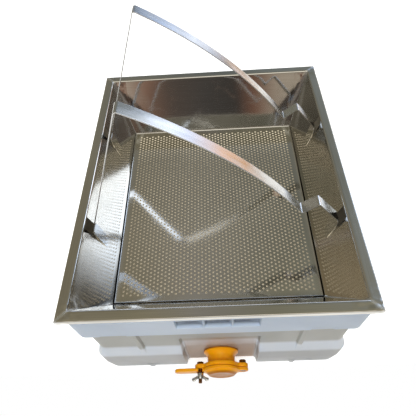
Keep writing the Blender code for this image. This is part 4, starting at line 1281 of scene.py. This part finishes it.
def makeGateCover():
    look = gateLook
    outline = polarOutline(True, False)
    back = coverHigh.y
    front = back - 5 * mm
    dome = coverLow.y
    e = look["edge"]
    stations = [("circle", 0.5, back), ("circle", 14, back), ("circle", 26, back), ("outline", e + 0.3, back)]
    stations += [(kind, inset, back + front - y) for kind, inset, y in roundedEdge(front, 1, e)]
    stations += list(reversed(roundedEdge(front, 1, e)))
    stations += [("circle", 28.8, front), ("circle", 28.3, front - 0.25 * mm)]
    rim = look["domeTop"] + 0.8
    stations += [("circle", 28.3 + (rim - 28.3) * share, front - 0.25 * mm + (dome + 0.5 * mm - front) * share)
                 for share in (0.25, 0.5, 0.75, 1.0)]
    stations += [("circle", rim - 0.6, dome + 0.1 * mm), ("circle", look["domeTop"] - 0.6, dome),
                 ("circle", 19.0, dome + 0.02 * mm)]
    stations += [("circle", radius, dome + 0.35 * mm) for radius in (18.4, 9, 0.5)]
    cover = finishMesh("gateCover", loft(gateRings(outline, stations)), finish["gate"], 32)
    lug = look["lugPlace"]
    swing = 2 * lug
    half = look["notchHalf"]
    notch = arc((-lug, 0), half, 180, 360, 14)
    notch += arc((lug, 0), swing - half, 180, 166, 8)[1:]
    notch += arc((lug, 0), swing + half, 166, 180, 8)[:-1]

    def prism(shape, ys):
        return loft([[(x * mm, y, gateAxis.z + z * mm) for x, z in shape] for y in ys])

    cutWith(cover, prism(notch, (back + 2 * mm, dome - 3 * mm)))
    cutWith(cover, prism(arc((lug, 0), look["boltHole"], 0, 360, 32)[:-1], (back + 2 * mm, dome - 3 * mm)))
    cutWith(cover, prism(arc((lug, 0), look["nutSeat"], 0, 360, 32)[:-1], (front + 3.2 * mm, front - 3 * mm)))
    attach(cover, "cover")
    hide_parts("gate_cover")
    print("gate cover:", len(cover.data.polygons), "faces")


wingNutLook = {
    # mm: hub as (radius, distance from its back), then an ear's outline as (along X, along Y) and its layers
    "hub": ((3.1, 0), (5.2, 0), (5.6, 0.4), (5.5, 2.0), (5.1, 6.0), (4.5, 8.8), (4.0, 9.4), (3.1, 9.4)),
    "earTop": ((4.0, -2.6), (6.2, -4.2), (8.6, -5.8)), "earTip": (10.9, -9.6), "earRadius": 3.35,
    "earFoot": (4.0, -8.8),
    "earLayers": ((0.55, -1.25), (0.12, -1.0), (0.0, -0.55), (0.0, 0.55), (0.12, 1.0), (0.55, 1.25)),
}


def makeWingNut():
    # a pressed hub with two ears that lean outwards, edges eased
    look = wingNutLook
    low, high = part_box("wing_nut")
    x0, back = (low.x + high.x) / 2, high.y
    bm = loft([[(x0 + a * mm, back - depth * mm, gateAxis.z + b * mm)
                for a, b in arc((0, 0), radius, 0, 360, 40)[:-1]] for radius, depth in look["hub"]], closed=True)
    nut = finishMesh("wingNut", bm, finish["zinc"], 40)
    for sign in (-1, 1):
        outline = [*look["earTop"], *arc(look["earTip"], look["earRadius"], 35, -165, 16), look["earFoot"]]
        if sign < 0:
            outline = outline[::-1]
        rings = []
        for inset, z in look["earLayers"]:
            loop = insetOutline(outline, -inset if sign > 0 else inset)
            rings.append([(x0 + sign * a * mm, back + b * mm, gateAxis.z + z * mm) for a, b in loop])
        joinInto(nut, finishMesh("ear", loft(rings), finish["zinc"], 40))
    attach(nut, "clamp_nut")
    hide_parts("wing_nut")
    print("wing nut:", len(nut.data.polygons), "faces")


def boltThreadTree():
    # a helix of V-shaped thread about Y
    tree, entry, identifiers = newTree("boltThread", {
        "Radius": "NodeSocketFloat", "Length": "NodeSocketFloat", "Pitch": "NodeSocketFloat",
        "Ridge": "NodeSocketFloat", "Place": "NodeSocketVector", "Material": "NodeSocketMaterial"})
    turns = addNode(tree, "ShaderNodeMath", {"operation": "DIVIDE"}, {0: entry.outputs["Length"],
                                                                      1: entry.outputs["Pitch"]})
    helix = addNode(tree, "GeometryNodeCurveSpiral", inputs={"Resolution": 20, "Rotations": turns,
                                                             "Start Radius": entry.outputs["Radius"],
                                                             "End Radius": entry.outputs["Radius"],
                                                             "Height": entry.outputs["Length"]})
    ridge = addNode(tree, "GeometryNodeCurvePrimitiveCircle", inputs={"Resolution": 4,
                                                                      "Radius": entry.outputs["Ridge"]})
    swept = addNode(tree, "GeometryNodeCurveToMesh", inputs={"Curve": helix, "Profile Curve": ridge,
                                                             "Fill Caps": True})
    turned = addNode(tree, "GeometryNodeTransform", inputs={"Geometry": swept, "Rotation": (math.pi / 2, 0, 0),
                                                            "Translation": entry.outputs["Place"]})
    endTree(tree, turned, entry.outputs["Material"])
    return tree, identifiers


def makeBoltThread():
    low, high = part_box("clamp_bolt")
    x0 = (low.x + high.x) / 2
    tree, identifiers = boltThreadTree()
    start = gateLow.y + 1 * mm
    thread = runTree("clampBoltThread", tree, identifiers, {
        "Radius": 2.78 * mm, "Length": start - low.y - 1.2 * mm, "Pitch": 1.0 * mm, "Ridge": 0.36 * mm,
        "Place": Vector((x0, start, gateAxis.z)), "Material": finish["yellowZinc"]})
    thread.data.shade_smooth()
    thread.data.set_sharp_from_angle(angle=math.radians(35))
    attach(thread, "tank")
    print("bolt thread:", len(thread.data.polygons), "faces")


makeGateBody()
makeGateCover()
makeWingNut()
makeBoltThread()

# ---- CAD nodes that keep their shape
kept = {"gate_back_nut": "gate", "gate_seal_ring": "rubber", "gate_outer_gasket": "silicone",
        "gate_inner_gasket": "rubber", "pivot_bolt": "yellowZinc", "pivot_washer": "yellowZinc",
        "pivot_nut": "yellowZinc", "clamp_bolt": "yellowZinc", "clamp_washer": "yellowZinc"}
for nodeName, finishName in kept.items():
    for materialSlot in nodes[nodeName].material_slots:
        materialSlot.material = finish[finishName]
print("kept nodes are painted")

bpy.context.view_layer.update()
